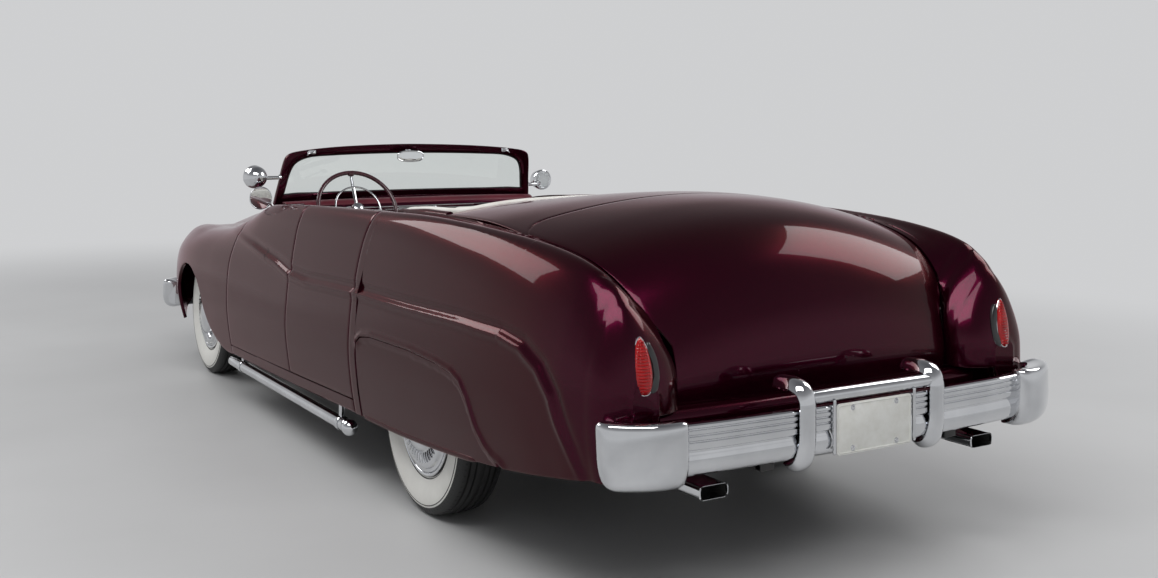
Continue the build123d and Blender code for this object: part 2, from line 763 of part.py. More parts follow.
# Spotlights on the windshield posts, each on a short arm, and a round mirror on the left door
lamp_ball = 54
with BuildPart() as spotlights:
    for x, y, z in ((850, -763, 1147), (-850, -900, 1092)):
        side = 1 if x > 0 else -1
        with Locations((x, y, z)):
            Sphere(lamp_ball)
        with Locations(Location((x, y - side * 20, z), (90, 0, 0))):
            Cylinder(lamp_ball + 4, 30)
    arm_from = 735 - 45 * (1131 - 1000) / 320 + fit_gap
    with Locations(Location(((arm_from + 820) / 2, -800, 1140), (0, 90, 0))):
        Cylinder(9, 820 - arm_from)
    arm_from = 735 - 45 * (1061 - 1000) / 320 + fit_gap
    with Locations(Location((-(arm_from + 830) / 2, -830, 1070), (0, 90, 0))):
        Cylinder(9, 830 - arm_from)
    with Locations((-826, -854, 1070)):
        Box(18, 64, 18)
save(spotlights.part, "spotlights")
with BuildPart() as door_mirror:
    with Locations(Location((850, -695, 1046), (90, 0, 0))):
        Cylinder(57, 18)
    door_top = station(-695)[7]
    with Locations((800, -690, (door_top + 1000) / 2)):
        Box(90, 14, 1020 - door_top)
    add(front_door.moved(Location((0, 0, fit_gap))), mode=Mode.SUBTRACT)
save(door_mirror.part, "door_mirror")

# Dashboard with the column's passage
with BuildPart() as dashboard:
    dash = [
        (cowl_rear_y + seat_gap, 1018), (-735, 1010), (-715, 985), (-720, 900), (-735, 860),
        (-760, 860), (-745, 905), (-742, 980), (cowl_rear_y + seat_gap, 992),
    ]
    extrude(lengthwise(-715, dash), 1430)
    with BuildSketch(column_plane):
        Circle(column_radius + 8)
    extrude(amount=600, mode=Mode.SUBTRACT)
save(dashboard.part, "dashboard")

# Steering column down to the firewall, and the wheel on its end
column_start = 40
column_length = 395
with BuildPart() as steering_column:
    with BuildSketch(column_plane.offset(column_start)):
        Circle(column_radius)
    extrude(amount=column_length)
save(steering_column.part, "steering_column")
rim_ring_radius = 205
rim_tube = 11
hub_radius = 32
with BuildPart() as steering_wheel:
    with BuildSketch(column_plane) as hub:
        Circle(hub_radius)
    extrude(amount=column_start - seat_gap)
    with BuildSketch(Plane(column_plane.origin, x_dir=column_plane.x_dir, z_dir=column_plane.y_dir)) as ring:
        with Locations((rim_ring_radius, 0)):
            Circle(rim_tube)
    revolve(axis=Axis(column_plane.origin, column_plane.z_dir))
    for angle in (0, 120, 240):
        with BuildSketch(column_plane):
            with Locations(Location((0, 0, 0), (0, 0, angle + 90))):
                with Locations((rim_ring_radius / 2, 0)):
                    Rectangle(rim_ring_radius, 16)
        extrude(amount=8)
save(steering_wheel.part, "steering_wheel")

# Seats: plain closed forms, the cushion and back of each bench
seat_half = 660
rear_seat_half = min(seat_half, track_rear / 2 - tyre_width / 2 - 8)
shelf_front_y = 1000
seat_low_z = tunnel_top_z + fit_gap
riser_inner = 180
with BuildPart() as front_seat:
    bench = [
        (-430, seat_low_z), (-440, 560), (-380, 590), (60, 560), (110, 970), (150, 1000),
        (225, 990), (250, 940), (215, 560), (200, seat_low_z),
    ]
    extrude(lengthwise(-seat_half, bench), 2 * seat_half)
    for side in (-1, 1):
        with Locations((side * (seat_half + riser_inner) / 2, -110, (seat_low_z + floor_z + fit_gap) / 2)):
            Box(seat_half - riser_inner, 520, seat_low_z - floor_z - fit_gap)
save(front_seat.part, "front_seat")
with BuildPart() as rear_seat:
    bench = [
        (420, seat_low_z), (410, 570), (460, 600), (800, 570), (880, 1030), (915, 1082),
        (985, 1086), (shelf_front_y, 1050), (960, trunk_floor_z + fit_gap),
        (heel_y - floor_sheet - 2, trunk_floor_z),
        (heel_y - floor_sheet - 2, seat_low_z),
    ]
    extrude(lengthwise(-rear_seat_half, bench), 2 * rear_seat_half)
    for side in (-1, 1):
        riser_x = side * (rear_seat_half + riser_inner) / 2
        with Locations((riser_x, 630, (seat_low_z + floor_z + fit_gap) / 2)):
            Box(rear_seat_half - riser_inner, 380, seat_low_z - floor_z - fit_gap)
save(rear_seat.part, "rear_seat")

# Padded shelf from the rear seat back to the deck's rim, and its front wall down to the trunk floor
shelf_z = 1050
shelf_thick = 30
shelf_half = 706
with BuildPart() as rear_shelf:
    shelf_rim = [(shelf_half, 1330)] + [(x, y + 25) for x, y in cabin_rim[1:]]
    edge = shelf_rim + [(-x, y) for x, y in reversed(shelf_rim[:-1])]
    outline = edge + [(-shelf_half, shelf_front_y + fit_gap), (shelf_half, shelf_front_y + fit_gap)]
    add(extrude(plan(shelf_z - shelf_thick, outline), shelf_thick))
    with Locations((0, shelf_front_y + fit_gap + 10, (trunk_floor_z + fit_gap + shelf_z - 5) / 2)):
        Box(2 * 590, 20, shelf_z - 5 - trunk_floor_z - fit_gap)
save(rear_shelf.part, "rear_shelf")

# Engine, as one block on the frame
with BuildPart() as engine_block:
    with Locations((0, -1480, 560)):
        Box(480, 780, 420)
    with Locations((0, -1480, 375)):
        Box(2 * rail_x - 2 * seat_gap, 60, 50)
save(engine_block.part, "engine_block")

# Front suspension: a crossmember and two arms a side that hold the kingpins
arm_width = 60
arm_thick = 16
lower_arm_z = 246
upper_arm_z = 452
pin_radius = 10
arm_end_x = kingpin_x + 26
with BuildPart() as front_suspension:
    with Locations((0, front_axle_y, 265)):
        Box(2 * rail_outer, 120, 300 - 2 * seat_gap - 230)
    for side in (-1, 1):
        for z in (lower_arm_z, upper_arm_z):
            with Locations((side * (rail_outer - 10 + arm_end_x) / 2, front_axle_y, z)):
                Box(arm_end_x - rail_outer + 10, arm_width, arm_thick)
        with Locations((side * (rail_outer - 20), front_axle_y, 430)):
            Box(40, 120, 60 - 2 * seat_gap)
        with Locations((side * (rail_outer + 8), front_axle_y, 345)):
            Box(15, 100, 215)
        with Locations((side * kingpin_x, front_axle_y, 350)):
            Cylinder(pin_radius + fit_gap, 300, mode=Mode.SUBTRACT)
save(front_suspension.part, "front_suspension")

# Knuckles: an upright with its pins and the wheel's spindle
upright_radius = 24
spindle_reach = 40
with BuildPart() as knuckle:
    low = lower_arm_z + arm_thick / 2 + 1
    high = upper_arm_z - arm_thick / 2 - 1
    with Locations((kingpin_x, front_axle_y, (low + high) / 2)):
        Cylinder(upright_radius, high - low)
        Cylinder(pin_radius, high - low + 2 * arm_thick)
    with BuildSketch(Plane.YZ.offset(kingpin_x)):
        with Locations((front_axle_y, tyre_radius)):
            Circle(spindle_radius)
    extrude(amount=track_front / 2 - kingpin_x + spindle_reach)
save(knuckle.part, "left_knuckle")
save(both_sides(knuckle.part), "right_knuckle")

# Rear axle with its differential, and a leaf spring a side from the frame
axle_radius = 38
differential_radius = 118
hub_inner = 45
spring_x = 480
spring_width = 56
with BuildPart() as rear_axle:
    tube_end = track_rear / 2 - hub_inner - 8
    with Locations(Location((0, rear_axle_y, tyre_radius), (0, 90, 0))):
        Cylinder(axle_radius, 2 * tube_end)
        Cylinder(spindle_radius, track_rear + 2 * spindle_reach)
        Cylinder(differential_radius, 170)
    top = tyre_radius - axle_radius + 6
    leaf = [
        (640, 240), (rear_axle_y, top - 20), (1850, 330), (1850, 346), (rear_axle_y, top), (640, 256),
    ]
    for side in (-1, 1):
        extrude(lengthwise(side * spring_x, leaf), spring_width / 2, both=True)
        for y, z in ((652, 248), (1838, 342)):
            reach = spring_x + spring_width / 2 - rail_outer - seat_gap
            with Locations((side * (rail_outer + seat_gap + reach / 2), y, z)):
                Box(reach, 40, 36)
save(rear_axle.part, "rear_axle")

# Gearbox and drive shaft in the tunnel
with BuildPart() as drive_shaft:
    with Locations((0, -850, 345)):
        Box(170, 470, 129)
    with Locations(Location((0, 240, 345), (90, 0, 0))):
        Cylinder(32, 1752)
save(drive_shaft.part, "drive_shaft")

# Wheels: rim, disc and hubcap turned about the spindle's line, with a tyre on each
bore_radius = spindle_radius + fit_gap
wheel_profile = [
    (-hub_inner, bore_radius), (-hub_inner, 62), (8, 70), (8, 180), (-80, 180), (-80, flange_radius),
    (-74, flange_radius), (-71, rim_radius), (64, rim_radius), (67, flange_radius), (73, flange_radius),
    (76, 204), (86, 190), (96, 120), (106, 60), (120, 26), (124, 0), (112, 0), (100, 50), (90, 115),
    (78, 182), (20, 182), (20, 70), (45, 62), (45, bore_radius),
]
bead = 64
half_width = tyre_width / 2
tyre_profile = [
    (-bead, rim_radius + fit_gap), (-bead - 4, flange_radius + 1), (-half_width + 8, 245),
    (-half_width, 280), (-half_width + 4, 318), (-half_width + 18, 343), (-58, tyre_radius - 1),
    (0, tyre_radius), (58, tyre_radius - 1), (half_width - 18, 343), (half_width - 4, 318),
    (half_width, 280), (half_width - 8, 245), (bead - 1, flange_radius + 1), (bead - 4, rim_radius + fit_gap),
]


def turned(profile, x, y):
    """Ring turned about the left wheel's line at x and y from (outward, radius) points."""
    with BuildPart() as ring:
        with BuildSketch(Plane(origin=(x, y, tyre_radius), x_dir=(1, 0, 0), z_dir=(0, -1, 0))):
            with BuildLine():
                Polyline(*profile, close=True)
            make_face()
        revolve(axis=Axis((x, y, tyre_radius), (1, 0, 0)))
    return ring.part


for place, track, y in (("front", track_front, front_axle_y), ("rear", track_rear, rear_axle_y)):
    wheel = turned(wheel_profile, track / 2, y)
    tyre = turned(tyre_profile, track / 2, y)
    save(wheel, f"left_{place}_wheel")
    save(both_sides(wheel), f"right_{place}_wheel")
    save(tyre, f"left_{place}_tyre")
    save(both_sides(tyre), f"right_{place}_tyre")
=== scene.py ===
from functools import cache
from math import atan2, cos, hypot, pi, radians, sin, sqrt

import bmesh
import bpy
import numpy as np
from mathutils import Matrix, Vector


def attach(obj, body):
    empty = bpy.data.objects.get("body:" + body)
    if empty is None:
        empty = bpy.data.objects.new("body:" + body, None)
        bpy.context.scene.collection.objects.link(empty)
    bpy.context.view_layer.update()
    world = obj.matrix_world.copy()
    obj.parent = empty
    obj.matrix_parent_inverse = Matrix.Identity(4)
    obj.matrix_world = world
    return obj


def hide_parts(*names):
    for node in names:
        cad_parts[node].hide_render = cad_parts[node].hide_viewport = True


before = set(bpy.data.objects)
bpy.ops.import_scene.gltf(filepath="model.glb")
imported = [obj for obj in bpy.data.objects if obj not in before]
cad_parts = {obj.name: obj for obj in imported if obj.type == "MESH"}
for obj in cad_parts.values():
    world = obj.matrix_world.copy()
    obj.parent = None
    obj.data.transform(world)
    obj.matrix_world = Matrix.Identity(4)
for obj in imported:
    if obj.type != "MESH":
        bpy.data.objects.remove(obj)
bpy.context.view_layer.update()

# Lowered, chopped four-door convertible of about 1950. Sizes are in millimetres, meshes in
# metres. +X is the car's left and the front faces -Y.
MM = 0.001

# Body sections from nose to tail, one row each: y, then x and z of the sill, of the widest
# place, of the side crease, of the fender crown and of its inner foot, and z on the centre line
STATIONS = np.array([
    [-2470, 750, 340, 790, 480, 776, 640, 670, 745, 520, 740, 760],
    [-2330, 822, 295, 862, 480, 844, 662, 712, 795, 540, 790, 858],
    [-2100, 876, 250, 918, 480, 896, 690, 740, 812, 570, 815, 925],
    [-1761, 908, 235, 946, 480, 926, 715, 760, 822, 600, 850, 965],
    [-1300, 918, 238, 952, 500, 932, 735, 775, 868, 650, 905, 1000],
    [-930, 920, 245, 952, 520, 931, 745, 790, 945, 690, 972, 1025],
    [-600, 922, 250, 952, 530, 930, 748, 815, 1012, 720, 1018, 1040],
    [0, 924, 262, 952, 540, 928, 749, 835, 1042, 740, 1044, 1060],
    [800, 924, 285, 952, 560, 930, 764, 835, 1066, 740, 1068, 1100],
    [1300, 924, 300, 951, 570, 933, 774, 830, 1074, 745, 1076, 1140],
    [1800, 923, 335, 948, 580, 931, 784, 810, 1058, 740, 1050, 1158],
    [2100, 909, 365, 934, 590, 919, 775, 790, 1032, 690, 1000, 1130],
    [2300, 886, 392, 912, 600, 898, 750, 775, 990, 650, 915, 1040],
    [2420, 860, 410, 884, 600, 872, 735, 758, 922, 620, 820, 900],
], float)
# Deck profile from the cabin to the lid's lower edge: y and z on the centre line, y and z at
# the deck's side
DECK = np.array([
    [1000, 1106, 1000, 1072], [1400, 1147, 1400, 1078], [1650, 1158, 1650, 1068],
    [2000, 1142, 1990, 1012], [2200, 1085, 2170, 945], [2340, 975, 2285, 850],
    [2415, 840, 2350, 740], [2442, 700, 2384, 650], [2436, 582, 2390, 582],
], float)
DECK_HALF = 742
# Half width of the trunk lid at y on its side edge
LID_HALF = np.array([(1738, 726), (1830, 729), (1950, 712), (2100, 682), (2200, 661), (2300, 632),
                     (2350, 600), (2388, 556), (2450, 552)], float)
# Plan of the cockpit's rear edge, as x and y from the centre line out
RIM = np.array([(0, 1015), (247, 1050), (412, 1110), (560, 1180), (640, 1205), (700, 1211), (741, 1212)],
               float)
# The crease from the front fender's crown along the doors, down behind the rear wheel: y and z
CREASE = np.array([
    (-1300, 862), (-930, 848), (-600, 822), (-212, 778), (-24, 746), (231, 738), (515, 748),
    (796, 756), (1319, 760), (1723, 768), (2000, 764), (2126, 744), (2222, 698), (2286, 632),
    (2321, 560), (2358, 490), (2385, 420),
], float)
# The skirt's upper edge in the rear fender, as y and z
SKIRT = np.array([
    (850, 540), (872, 578), (905, 600), (1000, 613), (1364, 619), (1580, 611), (1700, 598),
    (1765, 575), (1812, 528), (1858, 446), (1905, 398), (1945, 372), (1991, 358),
], float)
FRONT_AXLE_Y, REAR_AXLE_Y, TYRE_RADIUS = -1761, 1236, 352
ARCH_RADIUS, ARCH_Z = 410, 218
FRONT_DOOR_Y, REAR_DOOR_Y = -930, 778
HOOD_REAR_Y, LID_FRONT_Y = -985, 1738
SHUT_GAP = 6
EDGE_ROUND = 3
EDGE_GAP = SHUT_GAP / 2 + EDGE_ROUND
AHEAD, ASTERN, UP, LEFT = (0, -1, 0), (0, 1, 0), (0, 0, 1), (1, 0, 0)


# Curves
def hermite(a, b, slope_a, slope_b, t):
    """Smooth step from a to b with the given slopes, at share t."""
    return (a * (2 * t**3 - 3 * t**2 + 1) + slope_a * (t**3 - 2 * t**2 + t)
            + b * (3 * t**2 - 2 * t**3) + slope_b * (t**3 - t**2))


def along(points, shares):
    """Points of a polyline at shares of its length."""
    points = np.asarray(points, float)
    run = np.concatenate([[0], np.cumsum(np.linalg.norm(np.diff(points, axis=0), axis=1))])
    return np.stack([np.interp(np.asarray(shares) * run[-1], run, c) for c in points.T], -1)


def spline(points, count, closed=False):
    """Points evenly spaced along a smooth curve through the given ones."""
    pts = np.asarray(points, float)
    if closed:
        pts = np.vstack([pts[-1:], pts, pts[:2]])
    else:
        pts = np.vstack([2 * pts[:1] - pts[1:2], pts, 2 * pts[-1:] - pts[-2:-1]])
    steps = np.maximum(np.linalg.norm(np.diff(pts, axis=0), axis=1) ** 0.5, 1e-6)
    t = np.linspace(0, 1, 13)[:-1, None]
    fine = []
    for k in range(1, len(pts) - 2):
        p0, p1, p2, p3 = pts[k - 1:k + 3]
        before, step, after = steps[k - 1:k + 2]
        slope_1 = (p2 - p1) + step * ((p1 - p0) / before - (p2 - p0) / (before + step))
        slope_2 = (p2 - p1) + step * ((p3 - p2) / after - (p3 - p1) / (after + step))
        fine.append(hermite(p1, p2, slope_1, slope_2, t))
    return along(np.vstack(fine + [pts[-2:-1]]), np.linspace(0, 1, count + closed)[:count])


def row_at(table, y):
    """A table's row at y by a smooth curve through its rows."""
    last = len(table) - 2
    k = int(np.clip(np.searchsorted(table[:, 0], y, side="right") - 1, 0, last))
    a, b, c, d = table[max(k - 1, 0)], table[k], table[k + 1], table[min(k + 2, last + 1)]
    span = c[0] - b[0]
    slopes = [(q - p) / (q[0] - p[0]) * span for p, q in ((a, c), (b, d))]
    return hermite(b, c, *slopes, (y - b[0]) / span)[1:]


def looked_up(table, value):
    """Second column of a table at a value of its first."""
    rows = np.asarray(table, float)
    return float(np.interp(value, rows[:, 0], rows[:, 1]))


def ease(t):
    t = np.clip(t, 0, 1)
    return t * t * (3 - 2 * t)


def spaced(*stops):
    """Even steps between stops: first value, then pairs of a count of points and the next value."""
    runs = [np.linspace(stops[k], stops[k + 2], stops[k + 1])[:-1] for k in range(0, len(stops) - 2, 2)]
    return np.concatenate(runs + [stops[-1:]])


def outward(line):
    """Unit normals of a plane line, on its right as it runs."""
    run = np.gradient(line, axis=0)
    run /= np.linalg.norm(run, axis=1, keepdims=True)
    return np.stack([run[:, 1], -run[:, 0]], -1)


def section(outline, y):
    """Points of an outline (x, z) that stands at y."""
    outline = np.asarray(outline, float)
    return np.stack([outline[:, 0], np.full(len(outline), y), outline[:, 1]], -1)


def closed_line(points):
    return np.vstack([points, points[:1]])


def both_halves(half, flip=(-1, 1)):
    """Line across the car from its left half, which ends on the centre line."""
    half = np.asarray(half, float)
    return np.vstack([half, (half * flip)[::-1][1:]])


def tapered(count, reach, least):
    """Shares that fall from 1 towards both ends of a line, over reach of its length."""
    share = np.linspace(0, 1, count)
    return np.clip(np.minimum(share, share[::-1]) / reach, least, 1) ** 0.5


def distance_to(path, points):
    """Signed distance of (y, z) points from a path, positive on its left, and how far along it."""
    best, signed, share = np.full(len(points), 1e9), np.zeros(len(points)), np.zeros(len(points))
    for k, (a, b) in enumerate(zip(path, path[1:])):
        run = b - a
        t = np.clip(((points - a) @ run) / (run @ run), 0, 1)
        distance = np.linalg.norm(points - (a + t[:, None] * run), axis=1)
        side = np.sign(run[0] * (points - a)[:, 1] - run[1] * (points - a)[:, 0])
        near = distance < best
        for kept, new in ((best, distance), (signed, distance * side), (share, (k + t) / (len(path) - 1))):
            kept[near] = new[near]
    return signed, share


# Meshes
MERGE = 2e-5
SMOOTH_BELOW = radians(35)


def mesh_of(bm, mesh=None):
    mesh = mesh or bpy.data.meshes.new("mesh")
    bm.to_mesh(mesh)
    bm.free()
    mesh.update()
    return mesh


def mesh_from(verts, faces, merge=False):
    """Mesh of points; merge closes its seams and poles and turns its faces outwards."""
    mesh = bpy.data.meshes.new("mesh")
    mesh.from_pydata((np.asarray(verts, float) * MM).tolist(), [], faces)
    if not merge:
        mesh.update()
        return mesh
    bm = bmesh.new()
    bm.from_mesh(mesh)
    bmesh.ops.remove_doubles(bm, verts=bm.verts, dist=MERGE)
    bmesh.ops.dissolve_degenerate(bm, edges=bm.edges, dist=MERGE / 2)
    bmesh.ops.recalc_face_normals(bm, faces=bm.faces)
    return mesh_of(bm, mesh)


def colored(mesh, *finishes, pick=None):
    """Mesh with its finishes; pick(centre, normal) gives the number of each face's own."""
    mesh.materials.clear()
    for finish in finishes:
        mesh.materials.append(finish)
    for face in mesh.polygons:
        face.material_index = int(pick(np.array(face.center) / MM, face.normal)) if pick else 0
    return mesh


def finished(finish, *meshes):
    return [colored(mesh, finish) for mesh in meshes]


def moved(mesh, shift=(0, 0, 0), turn=None):
    """Mesh turned about the origin and then shifted."""
    mesh.transform(Matrix.Translation(Vector(shift) * MM) @ (turn or Matrix()).to_4x4())
    return mesh


def mirrored(mesh):
    """Copy of a mesh on the car's other side, its faces still outwards."""
    copy = mesh.copy()
    copy.transform(Matrix.Scale(-1, 4, LEFT))
    copy.flip_normals()
    return copy


def and_mirrored(meshes):
    return meshes + [mirrored(mesh) for mesh in meshes]


def joined(meshes):
    """One mesh of several, each with its own finishes."""
    bm = bmesh.new()
    finishes = []
    for mesh in meshes:
        start = len(bm.faces)
        bm.from_mesh(mesh)
        bm.faces.ensure_lookup_table()
        own = list(mesh.materials) or [None]
        for face in bm.faces[start:]:
            finish = own[min(face.material_index, len(own) - 1)]
            if finish not in finishes:
                finishes.append(finish)
            face.material_index = finishes.index(finish)
        bpy.data.meshes.remove(mesh)
    whole = mesh_of(bm)
    for finish in finishes:
        whole.materials.append(finish)
    return whole


def piece(name, meshes, body, *replaced, slot="body_paint", finish=None, fill=None):
    """A finished piece: it rides on its body and stands for its CAD nodes; slot is not used."""
    mesh = joined([colored(mesh, finish) for mesh in meshes] if finish else meshes)
    mesh.shade_smooth()
    mesh.set_sharp_from_angle(angle=SMOOTH_BELOW)
    obj = bpy.data.objects.new(name, mesh)
    bpy.context.scene.collection.objects.link(obj)
    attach(obj, body)
    if replaced:
        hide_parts(*replaced)


def pair(name, meshes, body, *replaced, **settings):
    """A left piece and its mirror image, each named by its side wherever {} stands."""
    for side, own in (("left", meshes), ("right", [mirrored(mesh) for mesh in meshes])):
        nodes = [node.format(side) for node in replaced]
        piece(f"{side}_{name}", own, body.format(side), *nodes, **settings)


def grid_faces(rows, columns, wrap_rows=False, wrap_columns=False):
    faces = []
    for r in range(rows if wrap_rows else rows - 1):
        for c in range(columns if wrap_columns else columns - 1):
            r2, c2 = (r + 1) % rows, (c + 1) % columns
            faces.append((r * columns + c, r * columns + c2, r2 * columns + c2, r2 * columns + c))
    return faces


def face_normals(verts, faces):
    """Vertex normals of a mesh, by the area of the faces around each."""
    total = np.zeros_like(verts)
    for sides in {len(face) for face in faces}:
        rings = np.array([face for face in faces if len(face) == sides])
        loops = verts[rings]
        normals = np.cross(loops, np.roll(loops, -1, 1)).sum(1) / (1 if sides == 4 else sides)
        for k in range(sides):
            np.add.at(total, rings[:, k], normals)
    return total / np.maximum(np.linalg.norm(total, axis=1, keepdims=True), 1e-9)


def with_normals(grid):
    """A grid of points with the normal of its smooth surface added to each."""
    grid = np.asarray(grid, float)
    normals = -face_normals(grid.reshape(-1, 3), grid_faces(*grid.shape[:2]))
    return np.concatenate([grid, normals.reshape(grid.shape)], axis=2)


def panel(grid, thick=20, round_edge=EDGE_ROUND, inner=None, flip=False, extra=()):
    """Closed panel whose outer face is a grid of points, and the extra faces if any.

    Its edges are rolled all round. Its inner face lies thick behind the outer one, or at the
    inner points. Where a point has six numbers, the last three are its normal."""
    grid = np.asarray(grid, float)
    faces = grid_faces(*grid.shape[:2]) + list(extra)
    if not flip:
        faces = [face[::-1] for face in faces]
    flat = grid.reshape(-1, grid.shape[2])
    verts = flat[:, :3]
    normals = flat[:, 3:] if flat.shape[1] > 3 else face_normals(verts, faces)
    back = verts - normals * thick if inner is None else np.asarray(inner, float).reshape(-1, 3)
    edges = dict.fromkeys((a, b) for face in faces for a, b in zip(face, face[1:] + face[:1]))
    border = [(a, b) for a, b in edges if (b, a) not in edges]
    away = {}
    for a, b in border:
        side = np.cross(verts[b] - verts[a], normals[a] + normals[b])
        side /= max(np.linalg.norm(side), 1e-9)
        for v in (a, b):
            away[v] = away.get(v, 0) + side
    ring = sorted(away)
    side = np.array([away[v] for v in ring])
    side *= round_edge / np.maximum(np.linalg.norm(side, axis=1, keepdims=True), 1e-9)
    into = normals[ring] * round_edge
    layers = [verts[ring] + side * sin(a) - into * (1 - cos(a)) for a in (pi / 6, pi / 3, pi / 2)]
    layers.append(verts[ring] + side - into * 2)
    start = len(verts) + len(layers) * len(ring)
    place = {v: [v, *(len(verts) + k * len(ring) + i for k in range(len(layers))), start + v]
             for i, v in enumerate(ring)}
    rolled = []
    for a, b in border:
        steps = list(zip(place[a], place[b]))
        rolled += [(b1, a1, a2, b2) for (a1, b1), (a2, b2) in zip(steps, steps[1:])]
    behind = [tuple(start + v for v in reversed(face)) for face in faces]
    return mesh_from(np.vstack([verts] + layers + [back]), faces + rolled + behind)


def sweep(sections, cap=True):
    """Skin over a row of like closed sections, each a list of points."""
    grid = np.asarray(sections, float)
    rows, columns = grid.shape[:2]
    faces = grid_faces(rows, columns, wrap_columns=True)
    if cap:
        faces.append(tuple(range(columns - 1, -1, -1)))
        faces.append(tuple((rows - 1) * columns + c for c in range(columns)))
    return mesh_from(grid.reshape(-1, 3), faces, merge=True)


def tube(path, radius, sides=16, cap=True, squash=1.0, up=UP):
    """Round bar along a path; radius is one number or one for each point."""
    path = np.asarray(path, float)
    radii = np.broadcast_to(np.asarray(radius, float), (len(path),))
    tangents = np.gradient(path, axis=0)
    tangents /= np.linalg.norm(tangents, axis=1, keepdims=True)
    side = np.cross(tangents[0], up)
    if np.linalg.norm(side) < 1e-3:
        side = np.cross(tangents[0], LEFT)
    angles = np.arange(sides)[:, None] * 2 * pi / sides
    rings = []
    for point, tangent, r in zip(path, tangents, radii):
        side = side - tangent * (side @ tangent)
        side /= np.linalg.norm(side)
        rings.append(point + r * (np.cos(angles) * side + squash * np.sin(angles) * np.cross(side, tangent)))
    return sweep(rings, cap)


def turned(profile, segments=64, center=(0, 0, 0), axis=LEFT):
    """Ring or disc turned from (along, radius) points round an axis through center."""
    turn = Vector(LEFT).rotation_difference(Vector(axis).normalized()).to_matrix()
    verts = [turn @ Vector((x, r * cos(a), r * sin(a))) + Vector(center)
             for a in np.arange(segments) * 2 * pi / segments for x, r in profile]
    return mesh_from(verts, grid_faces(segments, len(profile), wrap_rows=True), merge=True)


def block(center, size, bevel=2, segments=3, turn=None):
    """Block with rounded edges, turned about its centre."""
    bm = bmesh.new()
    bmesh.ops.create_cube(bm, size=1)
    bmesh.ops.scale(bm, vec=Vector(size) * MM, verts=bm.verts)
    bmesh.ops.bevel(bm, geom=bm.edges[:], offset=bevel * MM, segments=segments, profile=0.5, affect="EDGES")
    return moved(mesh_of(bm), center, turn)


def slab(outline, y, thick, bevel, segments=2):
    """Upright plate across the car, cut to a closed outline (x, z), from y to y + thick."""
    bm = bmesh.new()
    face = bm.faces.new([bm.verts.new(Vector((x, y, z)) * MM) for x, z in outline])
    extruded = bmesh.ops.extrude_face_region(bm, geom=[face])["geom"]
    far = [v for v in extruded if isinstance(v, bmesh.types.BMVert)]
    bmesh.ops.translate(bm, vec=(0, thick * MM, 0), verts=far)
    bmesh.ops.recalc_face_normals(bm, faces=bm.faces)
    sharp = [e for e in bm.edges if len(e.link_faces) == 2 and e.calc_face_angle() > radians(50)]
    bmesh.ops.bevel(bm, geom=sharp, offset=bevel * MM, segments=segments, profile=0.5, affect="EDGES")
    return mesh_of(bm)


def rounded_rect(width, height, radius, steps=5):
    """Closed outline (a, b) of a rectangle with round corners, about its centre."""
    points = []
    for cx, cy, start in ((1, 1, 0), (-1, 1, 90), (-1, -1, 180), (1, -1, 270)):
        for a in np.radians(np.linspace(start, start + 90, steps + 1)):
            points.append((cx * (width / 2 - radius) + radius * cos(a),
                           cy * (height / 2 - radius) + radius * sin(a)))
    return np.array(points)


def frame_wire(outline, center, radius, sides=8, **settings):
    """Wire bent round a closed outline (x, z) about a centre."""
    x, y, z = center
    return tube([(x + a, y, z + b) for a, b in closed_line(outline)], radius, sides, **settings)


def upright(outline, x, y, heights):
    """Post along z from a closed outline (x, y), each height with its share of the outline's size."""
    return sweep([[(x + a * size, y + b * size, z) for a, b in outline] for z, size in heights])


def domed(outline, place, height, steps=7, sunk=8, relief=lambda a, b: 0):
    """Domed cap on a closed outline (a, b): place(a, b, out) gives the point, out away from the base."""
    outline = np.asarray(outline, float)
    center = outline.mean(0)
    rings = [[place(a, b, -sunk) for a, b in outline]]
    for turn in np.linspace(0, pi / 2, steps + 1)[:-1]:
        ring = center + (outline - center) * cos(turn) ** 0.55
        rings.append([place(a, b, (height + relief(a, b)) * sin(turn)) for a, b in ring])
    return sweep(rings)


# Copies by Geometry Nodes
def repeat_tree():
    """Tree that sets copies of a part, each shifted and turned further than the last."""
    tree = bpy.data.node_groups.new("repeat_part", "GeometryNodeTree")
    sockets = {}
    for label, kind in (("Part", "Object"), ("Count", "Int"), ("Step", "Vector"), ("Turn", "Vector"),
                        ("Finish", "Material")):
        socket = tree.interface.new_socket(label, in_out="INPUT", socket_type="NodeSocket" + kind)
        sockets[label] = socket.identifier
    tree.interface.new_socket("Geometry", in_out="OUTPUT", socket_type="NodeSocketGeometry")
    source, sink, points, info, copies, real, finish, index, shift, turn = (
        tree.nodes.new(kind) for kind in (
            "NodeGroupInput", "NodeGroupOutput", "GeometryNodePoints", "GeometryNodeObjectInfo",
            "GeometryNodeInstanceOnPoints", "GeometryNodeRealizeInstances", "GeometryNodeSetMaterial",
            "GeometryNodeInputIndex", "ShaderNodeVectorMath", "ShaderNodeVectorMath"))
    shift.operation = turn.operation = "SCALE"
    for output, target in (
        (source.outputs["Count"], points.inputs["Count"]),
        (source.outputs["Step"], shift.inputs[0]), (index.outputs[0], shift.inputs["Scale"]),
        (source.outputs["Turn"], turn.inputs[0]), (index.outputs[0], turn.inputs["Scale"]),
        (shift.outputs[0], points.inputs["Position"]), (source.outputs["Part"], info.inputs["Object"]),
        (points.outputs[0], copies.inputs["Points"]), (info.outputs["Geometry"], copies.inputs["Instance"]),
        (turn.outputs[0], copies.inputs["Rotation"]), (copies.outputs[0], real.inputs[0]),
        (real.outputs[0], finish.inputs["Geometry"]), (source.outputs["Finish"], finish.inputs["Material"]),
        (finish.outputs[0], sink.inputs[0]),
    ):
        tree.links.new(output, target)
    return tree, sockets


REPEAT, REPEAT_SOCKETS = repeat_tree()


